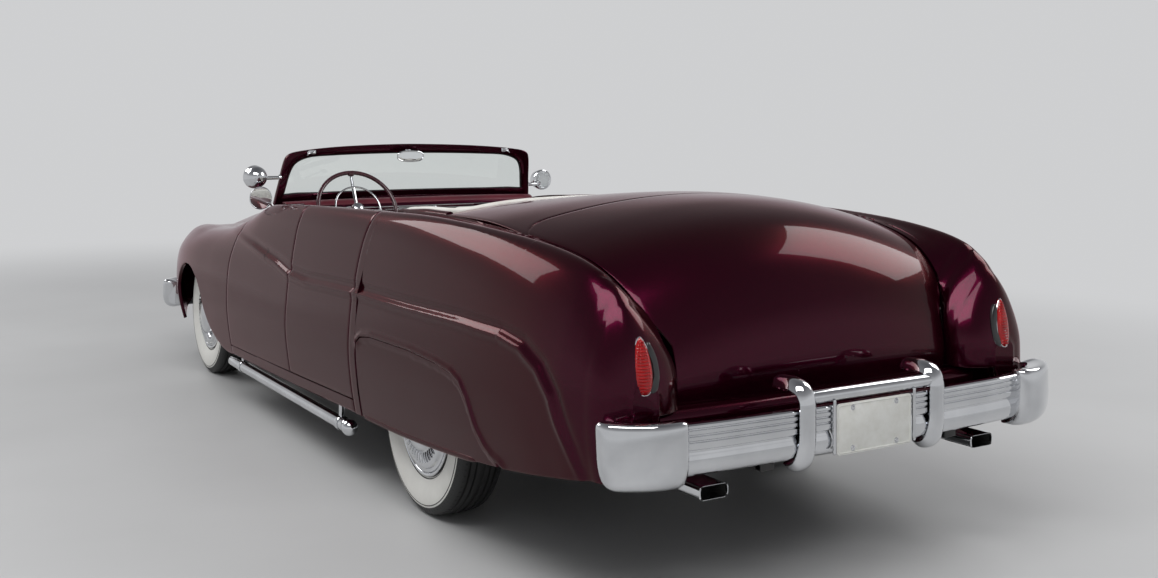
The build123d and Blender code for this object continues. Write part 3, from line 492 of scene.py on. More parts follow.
def evaluated(obj):
    """Plain mesh of an object with its modifiers applied."""
    bpy.context.view_layer.update()
    return bpy.data.meshes.new_from_object(obj.evaluated_get(bpy.context.evaluated_depsgraph_get()))


def repeated(part, count, finish, step=(0, 0, 0), turn=(0, 0, 0)):
    """Mesh of copies of a part: copy k is turned k times about the axes through the origin by
    turn, and shifted k times by step."""
    source = bpy.data.objects.new("part", part)
    holder = bpy.data.objects.new("holder", bpy.data.meshes.new("empty"))
    for obj in (source, holder):
        bpy.context.scene.collection.objects.link(obj)
    modifier = holder.modifiers.new("repeat", "NODES")
    modifier.node_group = REPEAT
    shift = tuple(v * MM for v in step)
    values = {"Part": source, "Count": count, "Step": shift, "Turn": turn, "Finish": finish}
    for label, value in values.items():
        modifier[REPEAT_SOCKETS[label]] = value
    mesh = evaluated(holder)
    for obj in (holder, source):
        bpy.data.objects.remove(obj)
    return mesh


# Materials
def shader(name, color, metallic=0.0, roughness=0.5, **settings):
    """New material; its settings go straight to the shader's own sockets."""
    material = bpy.data.materials.new(name)
    material.use_nodes = True
    surface = material.node_tree.nodes["Principled BSDF"]
    values = {"Base Color": (*color, 1), "Metallic": metallic, "Roughness": roughness, **settings}
    for label, value in values.items():
        surface.inputs[label.replace("_", " ")].default_value = value
    return material, material.node_tree, surface


def add(tree, kind, inputs, **properties):
    """New node; its inputs, by name or number, are constants or the outputs of other nodes."""
    node = tree.nodes.new("ShaderNode" + kind)
    for label, value in properties.items():
        setattr(node, label, value)
    for label, value in inputs.items():
        if isinstance(value, bpy.types.NodeSocket):
            tree.links.new(value, node.inputs[label])
        else:
            node.inputs[label].default_value = value
    return node


def coords(tree, scale=(1, 1, 1)):
    place = add(tree, "TexCoord", {})
    return add(tree, "Mapping", {"Scale": scale, "Vector": place.outputs["Object"]}).outputs["Vector"]


def noise(scale, detail=3.0, rough=0.5, stretch=(1, 1, 1)):
    """Noise texture, as a function that builds it in a tree."""
    def build(tree):
        inputs = {"Vector": coords(tree, stretch), "Scale": scale, "Detail": detail, "Roughness": rough}
        return add(tree, "TexNoise", inputs).outputs["Fac"]
    return build


def cells(scale, output="Distance"):
    """Texture of small cells, as a function that builds it in a tree."""
    def build(tree):
        return add(tree, "TexVoronoi", {"Vector": coords(tree), "Scale": scale}).outputs[output]
    return build


def ramp(tree, value, stops):
    """Color ramp over a value; stops are (place, color or grey)."""
    node = add(tree, "ValToRGB", {"Fac": value})
    elements = node.color_ramp.elements
    while len(elements) < len(stops):
        elements.new(0.5)
    for element, (place, color) in zip(elements, stops):
        element.position = place
        element.color = (*color, 1) if isinstance(color, tuple) else (color, color, color, 1)
    return node.outputs["Color"]


def maths(tree, operation, a, b):
    return add(tree, "Math", {0: a, 1: b}, operation=operation).outputs[0]


def new_finish(name, color, metallic, roughness, tones=None, gloss=None, bumps=(), onto="Normal",
               **settings):
    """Material whose colour and roughness are ramps over textures; each bump stands on the last."""
    material, tree, surface = shader(name, color, metallic, roughness, **settings)
    for label, ramped in (("Base Color", tones), ("Roughness", gloss)):
        if ramped:
            texture, *stops = ramped
            tree.links.new(ramp(tree, texture(tree), stops), surface.inputs[label])
    below = {}
    for texture, strength, depth in bumps:
        inputs = {"Height": texture(tree), "Strength": strength, "Distance": depth, **below}
        below = {"Normal": add(tree, "Bump", inputs).outputs["Normal"]}
    for normal in below.values():
        tree.links.new(normal, surface.inputs[onto])
    return material


def rubber(name, color, gray):
    """Moulded rubber with fine grain; gray is how far it has dulled."""
    patches = noise(16, 5, 0.6)
    light = tuple(c + gray for c in color)
    return new_finish(name, color, 0.0, 0.6, (patches, (0.3, color), (0.75, light)),
                      (patches, (0.3, 0.5), (0.8, 0.72)), [(noise(900, 2), 0.25, 0.0003)])


def vinyl(name, color, shade):
    """Grained upholstery vinyl, a little darker in broad random patches."""
    creases = noise(46, 4, 0.62)
    return new_finish(name, color, 0.0, 0.42, (noise(6), (0.3, shade), (0.72, color)),
                      (creases, (0.35, 0.36), (0.7, 0.5)),
                      [(cells(620), 0.22, 0.0005), (creases, 0.2, 0.0012)], Sheen_Weight=0.08,
                      Specular_IOR_Level=0.45)


def coated_steel(name, color, dust, rough=0.45, grain=240, depth=0.0006, metallic=0.0):
    """Painted or bare steel and iron under a thin film of road dust."""
    film = noise(7, 5, 0.6)
    return new_finish(name, color, metallic, rough, (film, (0.4, color), (0.85, dust)),
                      (film, (0.3, rough - 0.08), (0.8, rough + 0.2)), [(noise(grain), 0.35, depth)])


def lens(name, color, through, deep):
    """Moulded lamp lens with faint flow marks; deep is how dark its thick places get."""
    dark = tuple(c * deep for c in color)
    return new_finish(name, color, 0.0, 0.05, (noise(18, 2), (0.3, dark), (0.7, color)), None,
                      [(noise(520, 1), 0.06, 0.0003)], Transmission_Weight=through, IOR=1.45,
                      Coat_Weight=0.4, Coat_Roughness=0.03, Coat_IOR=1.35)


def gloss_plastic(name, color, rough=0.18):
    swirl = noise(30, 4, 0.6)
    bright = tuple(c * 1.5 + 0.004 for c in color)
    return new_finish(name, color, 0.0, rough, (swirl, (0.3, color), (0.8, bright)),
                      (swirl, (0.3, rough), (0.8, rough + 0.12)), [(noise(260, 2), 0.08, 0.0003)],
                      Coat_Weight=0.5, Coat_Roughness=0.06)


def cabin_floor():
    """Carpet on the faces that look up, and dark undercoat on the others."""
    material, tree, surface = shader("cabin_floor", (0.05, 0.006, 0.012), 0.0, 0.9)
    height = add(tree, "SeparateXYZ", {0: add(tree, "NewGeometry", {}).outputs["Normal"]})
    pile = noise(700, 3, 0.7)(tree)
    soft = ramp(tree, pile, [(0.3, (0.02, 0.002, 0.005)), (0.7, (0.09, 0.012, 0.022))])
    hard = ramp(tree, noise(7, 5, 0.6)(tree), [(0.4, (0.014, 0.014, 0.015)), (0.85, (0.05, 0.045, 0.04))])
    upwards = maths(tree, "GREATER_THAN", height.outputs["Z"], 0.5)
    mix = add(tree, "Mix", {"Factor": upwards, "A": hard, "B": soft}, data_type="RGBA")
    tree.links.new(mix.outputs["Result"], surface.inputs["Base Color"])
    bump = add(tree, "Bump", {"Height": pile, "Strength": 0.7, "Distance": 0.002})
    tree.links.new(bump.outputs["Normal"], surface.inputs["Normal"])
    return material


# Black-cherry candy over fine flake, under a deep clear coat
PAINT = new_finish("candy_paint", (0.06, 0.001, 0.015), 0.85, 0.28,
                   (cells(2600, "Color"), (0.0, (0.022, 0.0004, 0.0054)), (0.7, (0.042, 0.0007, 0.0105)),
                    (1.0, (0.15, 0.004, 0.038))), (noise(3, 2), (0.3, 0.21), (0.7, 0.26)),
                   [(noise(340, 1), 0.05, 0.0002)], "Coat Normal", Coat_Weight=0.6, Coat_Roughness=0.02,
                   Coat_IOR=1.33, Specular_Tint=(0.5, 0.05, 0.16, 1))
# Polished plating with faint wiping marks and a few dull spots
CHROME = new_finish("chrome", (0.66, 0.67, 0.69), 1.0, 0.03,
                    (noise(9), (0.3, (0.6, 0.61, 0.63)), (0.7, (0.7, 0.71, 0.73))),
                    (noise(22, 4, 0.6, (1, 6, 1)), (0.4, 0.02), (0.8, 0.07)),
                    [(noise(300, 1), 0.03, 0.0002)])
PILE = noise(700, 3, 0.7)
CARPET = new_finish("carpet", (0.05, 0.006, 0.012), 0.0, 0.95,
                    (PILE, (0.3, (0.018, 0.002, 0.005)), (0.7, (0.085, 0.012, 0.022))), None,
                    [(PILE, 0.9, 0.003)], Sheen_Weight=0.5)
GLASS = new_finish("clear_glass", (0.93, 0.97, 0.95), 0.0, 0.0, None,
                   (noise(9, 4, 0.6, (1, 1, 3)), (0.45, 0.0), (0.9, 0.035)), Transmission_Weight=1.0,
                   IOR=1.46)
PLATE = new_finish("plate_enamel", (0.84, 0.84, 0.8), 0.0, 0.3,
                   (noise(24, 5, 0.65), (0.35, (0.84, 0.84, 0.8)), (0.85, (0.7, 0.69, 0.63))), None,
                   [(noise(420, 2), 0.15, 0.0003)], Coat_Weight=0.4, Coat_Roughness=0.1)
# Silvered glass, a little duller towards a few old spots
SPOTS = noise(60, 5, 0.7)
MIRROR = new_finish("mirror_glass", (0.8, 0.82, 0.83), 1.0, 0.01,
                    (SPOTS, (0.6, (0.82, 0.84, 0.85)), (0.85, (0.5, 0.5, 0.48))),
                    (SPOTS, (0.6, 0.008), (0.85, 0.16)))
TYRE = rubber("tyre_rubber", (0.014, 0.014, 0.014), 0.014)
WHITEWALL = rubber("whitewall", (0.74, 0.73, 0.69), 0.06)
SEAL = rubber("seal_rubber", (0.012, 0.012, 0.012), 0.01)
WHITE_VINYL = vinyl("white_vinyl", (0.82, 0.8, 0.76), (0.7, 0.68, 0.63))
CHERRY_VINYL = vinyl("cherry_vinyl", (0.13, 0.009, 0.022), (0.08, 0.006, 0.014))
CHASSIS = coated_steel("chassis_paint", (0.018, 0.018, 0.019), (0.06, 0.055, 0.05))
IRON = coated_steel("cast_iron", (0.1, 0.1, 0.105), (0.2, 0.17, 0.14), 0.6, 420, 0.001, 0.6)
STEEL = coated_steel("bare_steel", (0.42, 0.42, 0.43), (0.3, 0.28, 0.25), 0.38, 300, 0.0004, 1.0)
SOOT = coated_steel("soot", (0.012, 0.011, 0.01), (0.03, 0.028, 0.026), 0.8, 300, 0.001)
RED = lens("red_lens", (0.55, 0.004, 0.006), 0.2, 0.6)
LAMP_GLASS = lens("lamp_glass", (0.9, 0.93, 0.94), 0.55, 0.95)
RIM_PLASTIC = gloss_plastic("rim_plastic", (0.035, 0.005, 0.01))
BLACK_PLASTIC = gloss_plastic("black_plastic", (0.004, 0.004, 0.005), 0.3)
DIAL_WHITE = gloss_plastic("dial_cream", (0.6, 0.57, 0.48), 0.35)
CABIN_FLOOR = cabin_floor()


# Body surface
SIDE_POINTS, BELOW_CROWN = 240, 140
TAIL_JOIN_Y, POD_FROM_Y, POD_END_Y = 2385, 2380, 2513
POD_CENTRE = np.array((738, 640))
OUTER_SHARES = spaced(0, 20, 0.26, 20, 0.42, 26, 0.62, 34, 1)
DOOR_SHARES = spaced(0, 24, 0.42, 28, 0.68, 36, 1)
FENDER_SHARES = spaced(0, 30, 0.5, 50, 1)
NOSE_JOIN_Y, NOSE_END_Y = -2385, -2502
LAMP = np.array((672, 600))
LAMP_RING = 96
# Edge of the front wheel opening, as y from the axle and z
ARCH = [(ARCH_RADIUS * cos(a), ARCH_Z + ARCH_RADIUS * sin(a)) for a in np.radians(range(180, 38, -4))]
ARCH += [(350, 424), (404, 362), (470, 312), (545, 278), (640, 250), (740, 238)]
ARCH_LENGTH = 740
DOOR_DEPTH = 96
FREE_EDGE_SLOPE = 0.175


def sill_to_crown(y):
    """Points (x, z) of the body side at y from the sill to the crown, and the crown's foot."""
    xs, zs, xw, zw, xr, zr, xc, zc, xf, zf, _ = row_at(STATIONS, y)
    low = ((xs + xw) / 2 + 5, (zs + zw) / 2 - 8)
    shoulder = (xc + (xr - xc) * 0.44, zc - (zc - zr) * 0.2)
    return [(xs, zs), low, (xw, zw), (xr, zr), shoulder, (xc, zc)], (xf, zf)


def side_line(y, low=0.0):
    """Fine left half outline (x, z) at y from the sill, or from height low, to the crown's foot."""
    points, (xf, zf) = sill_to_crown(y)
    xc, zc = points[-1]
    hollow = (xc * 0.45 + xf * 0.55, (zc + zf) / 2 + (zc - zf) * 0.12 - 3)
    line = spline(points + [hollow, (xf, zf)], SIDE_POINTS)
    if low > line[0, 1]:
        k = int(np.searchsorted(line[:BELOW_CROWN, 1], low))
        below, above = line[k - 1], line[k]
        first = below + (above - below) * (low - below[1]) / max(above[1] - below[1], 1e-6)
        line = np.vstack([first, line[k:]])
    return line


def crease_lift(points):
    """How far the skin stands out near the crease: a bead along it with a hollow above."""
    signed, _ = distance_to(CREASE, points)
    bead = 6.5 * np.exp(-((signed + 5) / 13.0) ** 2)
    hollow = 6.0 * np.exp(-((signed - 21) / 17.0) ** 2)
    below = 4.0 * np.where(signed < 0, np.clip(1 + signed / 140, 0, 1) ** 1.6, np.exp(-(signed / 10.0) ** 2))
    fade = ease((points[:, 0] + 1250) / 900) * (1 - ease((points[:, 0] - 2330) / 90) * 0.8)
    return fade * (bead + below - hollow)


def skirt_lift(points):
    """Raised bead along the skirt's upper edge on the rear fender."""
    signed, share = distance_to(SKIRT, points)
    bead = 7.0 * np.exp(-((signed - 9) / 9.0) ** 2)
    swell = 2.5 * np.exp(-(np.maximum(signed, 0) / 45.0))
    return (bead + swell) * ease(share * 14) * (signed > -20)


def creased(points, y, *more):
    """Outline (x, z) at y with its beads, which fade where the skin turns up from the side."""
    out = outward(points)
    flat = section(points, y)[:, 1:]
    lift = sum(bead(flat) for bead in (crease_lift, *more))
    return points + out * (lift * np.clip(out[:, 0] * 1.5, 0, 1))[:, None]


def lid_half(y):
    return looked_up(LID_HALF, y)


@cache
def deck_curve(x):
    """Fine (y, z) profile of the deck and lid at x."""
    share = (x / DECK_HALF) ** 2
    return spline(DECK[:, :2] * (1 - share) + DECK[:, 2:] * share, 260)


def deck_z(x, y):
    """Height of the deck's upper face at x and y, ahead of where it turns down."""
    curve = deck_curve(x)
    return looked_up(curve[:np.argmax(curve[:, 0])], y)


def quarter_line(y):
    """Outline (x, z) of the rear fender at y: its side and crown, and the wall by the lid."""
    at = min(y, 2420)
    points, (xf, zf) = sill_to_crown(at)
    xc, zc = points[-1]
    if at > 1838:
        seam = min(at, TAIL_JOIN_Y)
        blend = ease((at - 1838) / 120)
        half = lid_half(seam)
        xf += (half + SHUT_GAP + 2 * EDGE_ROUND - xf) * blend
        zf += (deck_z(half, seam) - zf) * blend
    zf -= max(0, at - TAIL_JOIN_Y) * 1.2
    drop = min(1, max(0, (xc - xf - 60) / 120))
    hollow = (xc * 0.42 + xf * 0.58, zc * (0.42 + 0.16 * drop) + zf * (0.58 - 0.16 * drop) - 3)
    outer = along(spline(points + [hollow, (xf, zf)], SIDE_POINTS), OUTER_SHARES)
    wall_x = xf + 2 + min(max(y - TAIL_JOIN_Y, 0), 200) * 0.05
    wall_z = zf - 30 - ease((y - 2290) / 90) * (zf - 30 - 590)
    return outer, [(wall_x, z) for z in np.linspace(zf, wall_z, 15)[1:]]


def quarter_grid():
    first = REAR_DOOR_Y + EDGE_GAP
    cap = np.sin(np.linspace(0, 1, 20)[1:] * radians(80)) / sin(radians(80))
    ys = np.concatenate([spaced(first, 46, 1680, 34, 2010, 8, 2120, 30, POD_FROM_Y),
                         POD_FROM_Y + (POD_END_Y * 0.9999 - POD_FROM_Y) * cap])
    rows = []
    for y in ys:
        outer, wall = quarter_line(y)
        points = np.vstack([creased(outer, y, skirt_lift), wall])
        # Towards the tail the corner between crown and wall is smoothed away
        low, high = len(outer) - 23, len(outer) + 12
        for _ in range(round(70 * ease((y - 2325) / 70))):
            middle = (points[low - 1:high - 1] + points[low + 1:high + 1]) / 2
            points[low:high] += 0.5 * (middle - points[low:high])
        # The tail closes in on a rounded end
        u = min(max((y - POD_FROM_Y) / (POD_END_Y - POD_FROM_Y), 0), 0.985)
        away = points - POD_CENTRE
        away[:, 0] *= (1 - u**3.2) ** (1 / 2.5)
        away[away[:, 1] > 0, 1] *= (1 - u**1.9) ** 0.52
        rows.append(section(POD_CENTRE + away, y))
    grid = np.array(rows)
    # The front edge follows the shut line, which leans back towards its top
    near = np.clip(1 - (grid[..., 1] - first) / 260, 0, 1)
    grid[..., 1] += rear_gap_lean(grid[..., 2]) * near
    return grid


def rear_gap_lean(z):
    return 32 * np.clip((z - 770) / 290, 0, 1) ** 2 + 3 * np.clip((770 - z) / 400, 0, 1)


def center_gap_lean(z):
    return np.where(z > 745, -26 * np.clip((z - 745) / 290, 0, 1) ** 1.3,
                    20 * np.clip((745 - z) / 450, 0, 1) ** 1.5)


def seam_z(y):
    """Height of the shut line under the doors at y."""
    return 288 + (y - FRONT_DOOR_Y) * 0.028


def trimmed(column, count, z_from=None, z_to=None):
    """Part of a column of the side grid between two heights, on the side below its crown."""
    index = np.arange(len(column), dtype=float)
    below = slice(int(np.argmax(column[:, 2])) + 1)
    begin, end = (stop if z is None else float(np.interp(z, column[below, 2], index[below]))
                  for z, stop in ((z_from, 0), (z_to, len(column) - 1)))
    return np.stack([np.interp(np.linspace(begin, end, count), index, c) for c in column.T], -1)


def insert_columns(grid, places):
    """Adds columns to a side grid at the given y, between the ones it has."""
    for y in places:
        ys = grid[:, 0, 1]
        k = int(np.searchsorted(ys, y))
        if 0 < k < len(ys):
            t = (y - ys[k - 1]) / (ys[k] - ys[k - 1])
            grid = np.insert(grid, k, grid[k - 1] * (1 - t) + grid[k] * t, axis=0)
    return grid


def build_rear_sides():
    """Rear fenders with their tail pods, and the skirts over the rear wheels."""
    gap = 1.2 + EDGE_ROUND
    front, rear = SKIRT[0, 0] - gap, SKIRT[-1, 0] + gap
    extra = [front + step for step in (0, 1, 7, 12, 18, 26, 36)] + [rear - 1, rear]
    full = with_normals(insert_columns(quarter_grid(), extra))
    wide = full.shape[1]
    fender, skirt = [], []
    for column in full:
        y = column[0, 1]
        edge = looked_up(SKIRT, y)
        fender.append(trimmed(column, wide, z_from=edge + gap) if front + 0.5 < y < rear - 0.5 else column)
        if SKIRT[0, 0] + gap < y < 1968:
            skirt.append(trimmed(column, 46, z_to=edge - gap))
    tail = tuple(range((len(full) - 1) * wide, len(full) * wide))
    pair("rear_fender", [panel(fender, 18, extra=[tail])], "body", "{}_quarter_panel", finish=PAINT)
    skirt = np.array(skirt)
    skirt[..., 0] -= 2
    # The skirt's lower edge is rolled round a rod that runs out to a point behind the wheel
    bottom = skirt[:, 0, :3]
    path = bottom[(bottom[:, 1] > 880) & (bottom[:, 1] < 1850)] + [-6, 0, 1]
    share = np.linspace(0, 1, len(path))
    radii = 11 * np.clip((1 - share) / 0.1, 0.05, 1) ** 0.5 * np.clip(share / 0.02, 0.3, 1) ** 0.5
    piece("rear_skirts", and_mirrored([panel(skirt, 12), tube(path, radii, 14)]), "body", "fender_skirts",
          finish=PAINT)


build_rear_sides()


# Doors
def door_columns(y_from, y_to, lean_from, lean_to):
    """Outer face of a door between two shut lines that lean lengthwise with height."""
    rows = []
    for share in np.linspace(0, 1, 48):
        y = y_from + (y_to - y_from) * share
        line = side_line(y, seam_z(y) + EDGE_GAP)
        past = (line[:, 0] < row_at(STATIONS, y)[6] - 66) & (np.arange(len(line)) > np.argmax(line[:, 1]))
        stop = np.argmax(past) if past.any() else len(line) - 1
        column = section(creased(along(line[:stop + 1], DOOR_SHARES), y), y)
        column[:, 1] += lean_from(column[:, 2]) * (1 - share) + lean_to(column[:, 2]) * share
        rows.append(column)
    return np.array(rows)


def door_inner(grid, free_at_end):
    """Inner face of a door: set in by the door's depth, and drawn back along its free edge."""
    inner = grid.copy()
    for column, share in zip(inner, np.linspace(0, 1, len(grid))):
        xs, zs, xw, zw, xr, zr, xc, zc = row_at(STATIONS, column[0, 1])[:8]
        line = spline([(xs - DOOR_DEPTH + 12, column[0, 2] + 2), (xw - DOOR_DEPTH, zw),
                       (xr - DOOR_DEPTH - 32, zr + 50), (xc - 74, zc - 40), (xc - 70, zc - 16)], 80)
        points = along(line, np.linspace(0, 1, len(column)))
        reach = -share**6 if free_at_end else (1 - share) ** 6
        column[:, 1] += reach * (column[:, 0] - points[:, 0]) * FREE_EDGE_SLOPE
        column[:, [0, 2]] = points
    return inner


PLEAT_FROM, PLEAT_TO = 0.30, 0.80


def card_swell(up, pleat):
    """How far a door card stands out at a share of its height; pleat is its channels' wave."""
    if up <= PLEAT_FROM:
        return 4.5
    if up < PLEAT_TO:
        return 3 + 7 * pleat * min(min(up - PLEAT_FROM, PLEAT_TO - up) / 0.02, 1) ** 0.5
    return 3 + 9 * max(0.0, sin((up - PLEAT_TO) / (1 - PLEAT_TO) * pi)) ** 0.5


def door_card(part, roll_from):
    """Door card of a padded top, a pleated panel and a carpeted foot, under a white roll."""
    heights = np.linspace(0.04, 0.985, 46)
    pleats = round((part[-1, 0, 1] - part[0, 0, 1]) / 62)
    face = []
    for share in np.linspace(0, 1, 121):
        k = share * (len(part) - 1)
        a = int(k)
        column = along(part[a] * (1 - k + a) + part[min(a + 1, len(part) - 1)] * (k - a), heights)
        pleat = abs(sin(share * pleats * pi)) ** 0.6
        swell = np.array([card_swell(up, pleat) for up in heights])
        column[:, 0] -= swell * min(min(share, 1 - share) / 0.012, 1) ** 0.5
        face.append(column)
    foot, top = along(part[len(part) // 2], [PLEAT_FROM, PLEAT_TO])[:, 2]
    card = colored(panel(face, 4, 1, flip=True), WHITE_VINYL, CHERRY_VINYL, CARPET,
                   pick=lambda p, n: 2 if p[2] < foot - 30 else p[2] < foot or p[2] > top + 200)
    crest = np.array([face[int(share * 120)][-1] for share in np.linspace(roll_from, 0.965, 40)]) + [3, 0, 2]
    return [card, colored(tube(crest, 13 * tapered(40, 0.05, 0.2)), WHITE_VINYL)]


def door_handles(part):
    """Door pull and window crank on their round plates; the crank has a knob."""
    meshes = []
    for up, share, size, knob in ((0.82, 0.3, 1.0, False), (0.6, 0.68, 0.8, True)):
        x, y, z = along(part[int(share * (len(part) - 1))], [up])[0] - [12, 0, 0]
        plate = [(0, 0.1), (0, 17 * size), (-6, 16 * size), (-10, 8), (-24, 7), (-26, 0.1)]
        arm = spline([(x - 21, y, z), (x - 24, y + 28, z - 3), (x - 25, y + 70 * size, z - 10),
                      (x - 22, y + 92 * size, z - 14)], 14)
        meshes += [turned(plate, 28, (x, y, z)), tube(arm, np.linspace(7, 4.5, 14), 12, squash=1.5)]
        if knob:
            meshes.append(turned([(0, 0.1), (0, 7), (-8, 9), (-20, 8), (-24, 0.1)], 20, arm[-1] - [2, 0, 0]))
    return meshes


def build_doors():
    for place, y_from, y_to, lean_from, lean_to, free_at_end, roll_from in (
        ("front", FRONT_DOOR_Y + EDGE_GAP, -EDGE_GAP, np.zeros_like, center_gap_lean, True, 0.40),
        ("rear", EDGE_GAP, REAR_DOOR_Y - EDGE_GAP, center_gap_lean, rear_gap_lean, False, 0.04),
    ):
        grid = door_columns(y_from, y_to, lean_from, lean_to)
        inner = door_inner(grid, free_at_end)
        body = "{}_" + place + "_door_body"
        pair(place + "_door_panel", [panel(grid, inner=inner)], body, "{}_" + place + "_door", finish=PAINT)
        # The front door's roll starts behind the windshield
        pair(place + "_door_card", door_card(inner[3:-3], roll_from), body, slot="upholstery")
        pair(place + "_door_handles", door_handles(inner[3:-3]), body, slot=None, finish=CHROME)


build_doors()


def build_rockers():
    rows = []
    for y in np.linspace(FRONT_DOOR_Y - SHUT_GAP / 2, REAR_DOOR_Y - SHUT_GAP / 2, 60):
        line = side_line(y)
        upper = int(np.searchsorted(line[:BELOW_CROWN, 1], seam_z(y) - SHUT_GAP / 2 - 1))
        part = along(line[:upper + 1], np.linspace(0, 1, 12))
        under = part[0] - [(92, 6), (60, 1), (30, -1), (12, -1), (4, 0.5)]
        rows.append(section(np.vstack([under, part[1:]]), y))
    piece("rocker_covers", and_mirrored([panel(rows, 8, 2)]), "body", "rocker_panels", finish=PAINT)


build_rockers()


# Front of the body
def fender_column(y, low):
    return section(creased(along(side_line(y, low), FENDER_SHARES), y), y)


def nose_outline(y):
    """Outline (x, z) of the front fender at y, held where its nose starts to close in."""
    return fender_column(max(y, -2460), row_at(STATIONS, max(y, -2470))[1])[:, [0, 2]]


def closed_on_lamp(outline, share, radius):
    """Outline (x, z) drawn in towards a circle round the lamp, which it reaches at share 1."""
    closing = 1 - sqrt(max(0.0, 1 - share**2.6))
    away = outline - LAMP
    circle = LAMP + radius * away / np.linalg.norm(away, axis=1, keepdims=True)
    return outline * (1 - closing) + circle * closing


def build_front_fenders():
    front, rear = FRONT_AXLE_Y - ARCH_RADIUS, FRONT_AXLE_Y + ARCH_LENGTH
    turn = np.linspace(pi, 0.7, 44)
    arch = FRONT_AXLE_Y + ARCH_RADIUS * np.cos(turn)
    ys = np.concatenate([np.linspace(NOSE_JOIN_Y, front - 1, 14), arch,
                         np.linspace(arch[-1], FRONT_DOOR_Y - EDGE_GAP, 34)[1:]])
    # Rounded nose, which closes in on the lamp's round seat
    rows = []
    for share in np.linspace(1, 0, 18)[:-1]:
        y = NOSE_JOIN_Y + (NOSE_END_Y - NOSE_JOIN_Y) * sin(share * pi / 2)
        rows.append(section(closed_on_lamp(nose_outline(y), share, LAMP_RING), y))
    rows += [fender_column(y, 0) for y in ys]
    cut = []
    for column in with_normals(rows):
        y = column[0, 1]
        start = looked_up(ARCH, y - FRONT_AXLE_Y) + EDGE_ROUND if front <= y <= rear else 0
        cut.append(trimmed(column, len(column), z_from=start) if start > column[0, 2] else column)
    pair("fender", [panel(cut, 18)], "body", "{}_front_fender", finish=PAINT)


build_front_fenders()


def build_hood():
    rows = []
    for y in np.linspace(-2400 + EDGE_ROUND, HOOD_REAR_Y - EDGE_ROUND, 64):
        xf, zf, zt = row_at(STATIONS, y)[8:]
        edge = xf - SHUT_GAP - EDGE_ROUND
        mid = (zf + zt) / 2
        line = spline(both_halves([(edge, zf + 1), (edge * 0.9, zf * 0.62 + mid * 0.38 + 6),
                                   (edge * 0.72, mid + 12), (edge * 0.4, zt - 10), (edge * 0.16, zt - 1),
                                   (0, zt)]), 61)
        # A soft ridge runs down the middle
        line[:, 1] += 5 * np.exp(-(line[:, 0] / 16) ** 2)
        rows.append(section(line, y))
    piece("hood_panel", [panel(rows, 16)], "hood_body", "hood", finish=PAINT)


build_hood()


def build_cowl():
    rows = []
    for y in np.linspace(HOOD_REAR_Y + SHUT_GAP + EDGE_ROUND, -800, 16):
        xf, zf, zt = row_at(STATIONS, y)[8:]
        edge = xf - (2 if y < FRONT_DOOR_Y else 18)
        rows.append(section(spline(both_halves([(edge, zf - 6), (edge * 0.5, (zf + 3 * zt) / 4 + 2),
                                                (0, zt)]), 49), y))
    top = colored(panel(rows, 14), PAINT)
    wall = both_halves([(-110, 420), (-135, 300), (-640, 300), (-640, 948), (-500, 974), (-345, 992),
                        (0, 1004)])
    # Wings close the space between the firewall and the fenders
    wing = [(630, 300), (892, 300), (902, 420), (906, 600), (892, 745), (850, 845), (780, 905), (700, 930),
            (630, 930)]
    sheets = finished(CHASSIS, slab(wall, -975, 22, 3), *and_mirrored([slab(wing, -956, 8, 2)]))
    ribs = repeated(block((-480, -979, 700), (34, 9, 300), 4), 9, CHASSIS, step=(120, 0, 0))
    piece("cowl_top_and_firewall", [top, *sheets, ribs], "body", "cowl")


build_cowl()


# Deck and trunk lid
def lid_front(x):
    """Plan of the lid's front edge: straight across, with rounded corners."""
    corner, radius = max(0.0, abs(x) - 600), 135.0
    return LID_FRONT_Y + radius - sqrt(radius**2 - min(corner, radius * 0.98) ** 2)


RIM_CURVE = spline(both_halves(RIM[::-1] * (-1, 1)), 200)


def rim_y(x):
    return looked_up(RIM_CURVE, x)


def on_deck(x, run):
    """Point on the deck at x, at a share of the length of its fine profile."""
    y, z = along(deck_curve(round(abs(x), 1)), [run])[0]
    return (x, y, z)


def run_at(x, y):
    """Share of the length of the deck's profile at x and y."""
    curve = deck_curve(round(abs(x), 1))
    top = int(np.argmax(curve[:, 0]))
    length = np.concatenate([[0], np.cumsum(np.linalg.norm(np.diff(curve, axis=0), axis=1))])
    return float(np.interp(y, curve[:top, 0], length[:top])) / length[-1]


def build_deck_and_lid():
    rows = []
    for x in np.linspace(-738, 738, 75):
        runs = np.linspace(run_at(x, rim_y(x) + EDGE_ROUND), run_at(x, lid_front(x) - EDGE_GAP), 34)
        rows.append([on_deck(x, run) for run in runs])
    # A low collar runs forward from the deck along each side of the cockpit
    collar = np.array([(741, -14), (737, -6), (730, -1.5), (722, 0), (714, -2), (709, -7), (708, -14),
                       (708, -36), (714, -38), (738, -30)])
    rings = [section(collar + [0, 1074 + 13 * ease((y - 790) / 260)], y) for y in np.linspace(786, 1216, 36)]
    piece("deck_skin", [panel(rows, 16)] + and_mirrored([sweep(rings)]), "body", "deck_panel", finish=PAINT)

    rows = []
    for k in np.linspace(-1, 1, 81):
        column = []
        front_x = k * (lid_half(LID_FRONT_Y) - 2)
        for run in np.linspace(run_at(front_x, lid_front(front_x) + EDGE_GAP), 1, 78):
            x = front_x
            for _ in range(3):
                x = k * (lid_half(on_deck(x, run)[1]) if run < 0.985 else 552)
            column.append(on_deck(x, run))
        rows.append(column)
    piece("lid_panel", [panel(rows, 16)], "trunk_lid_body", "trunk_lid", finish=PAINT)


build_deck_and_lid()
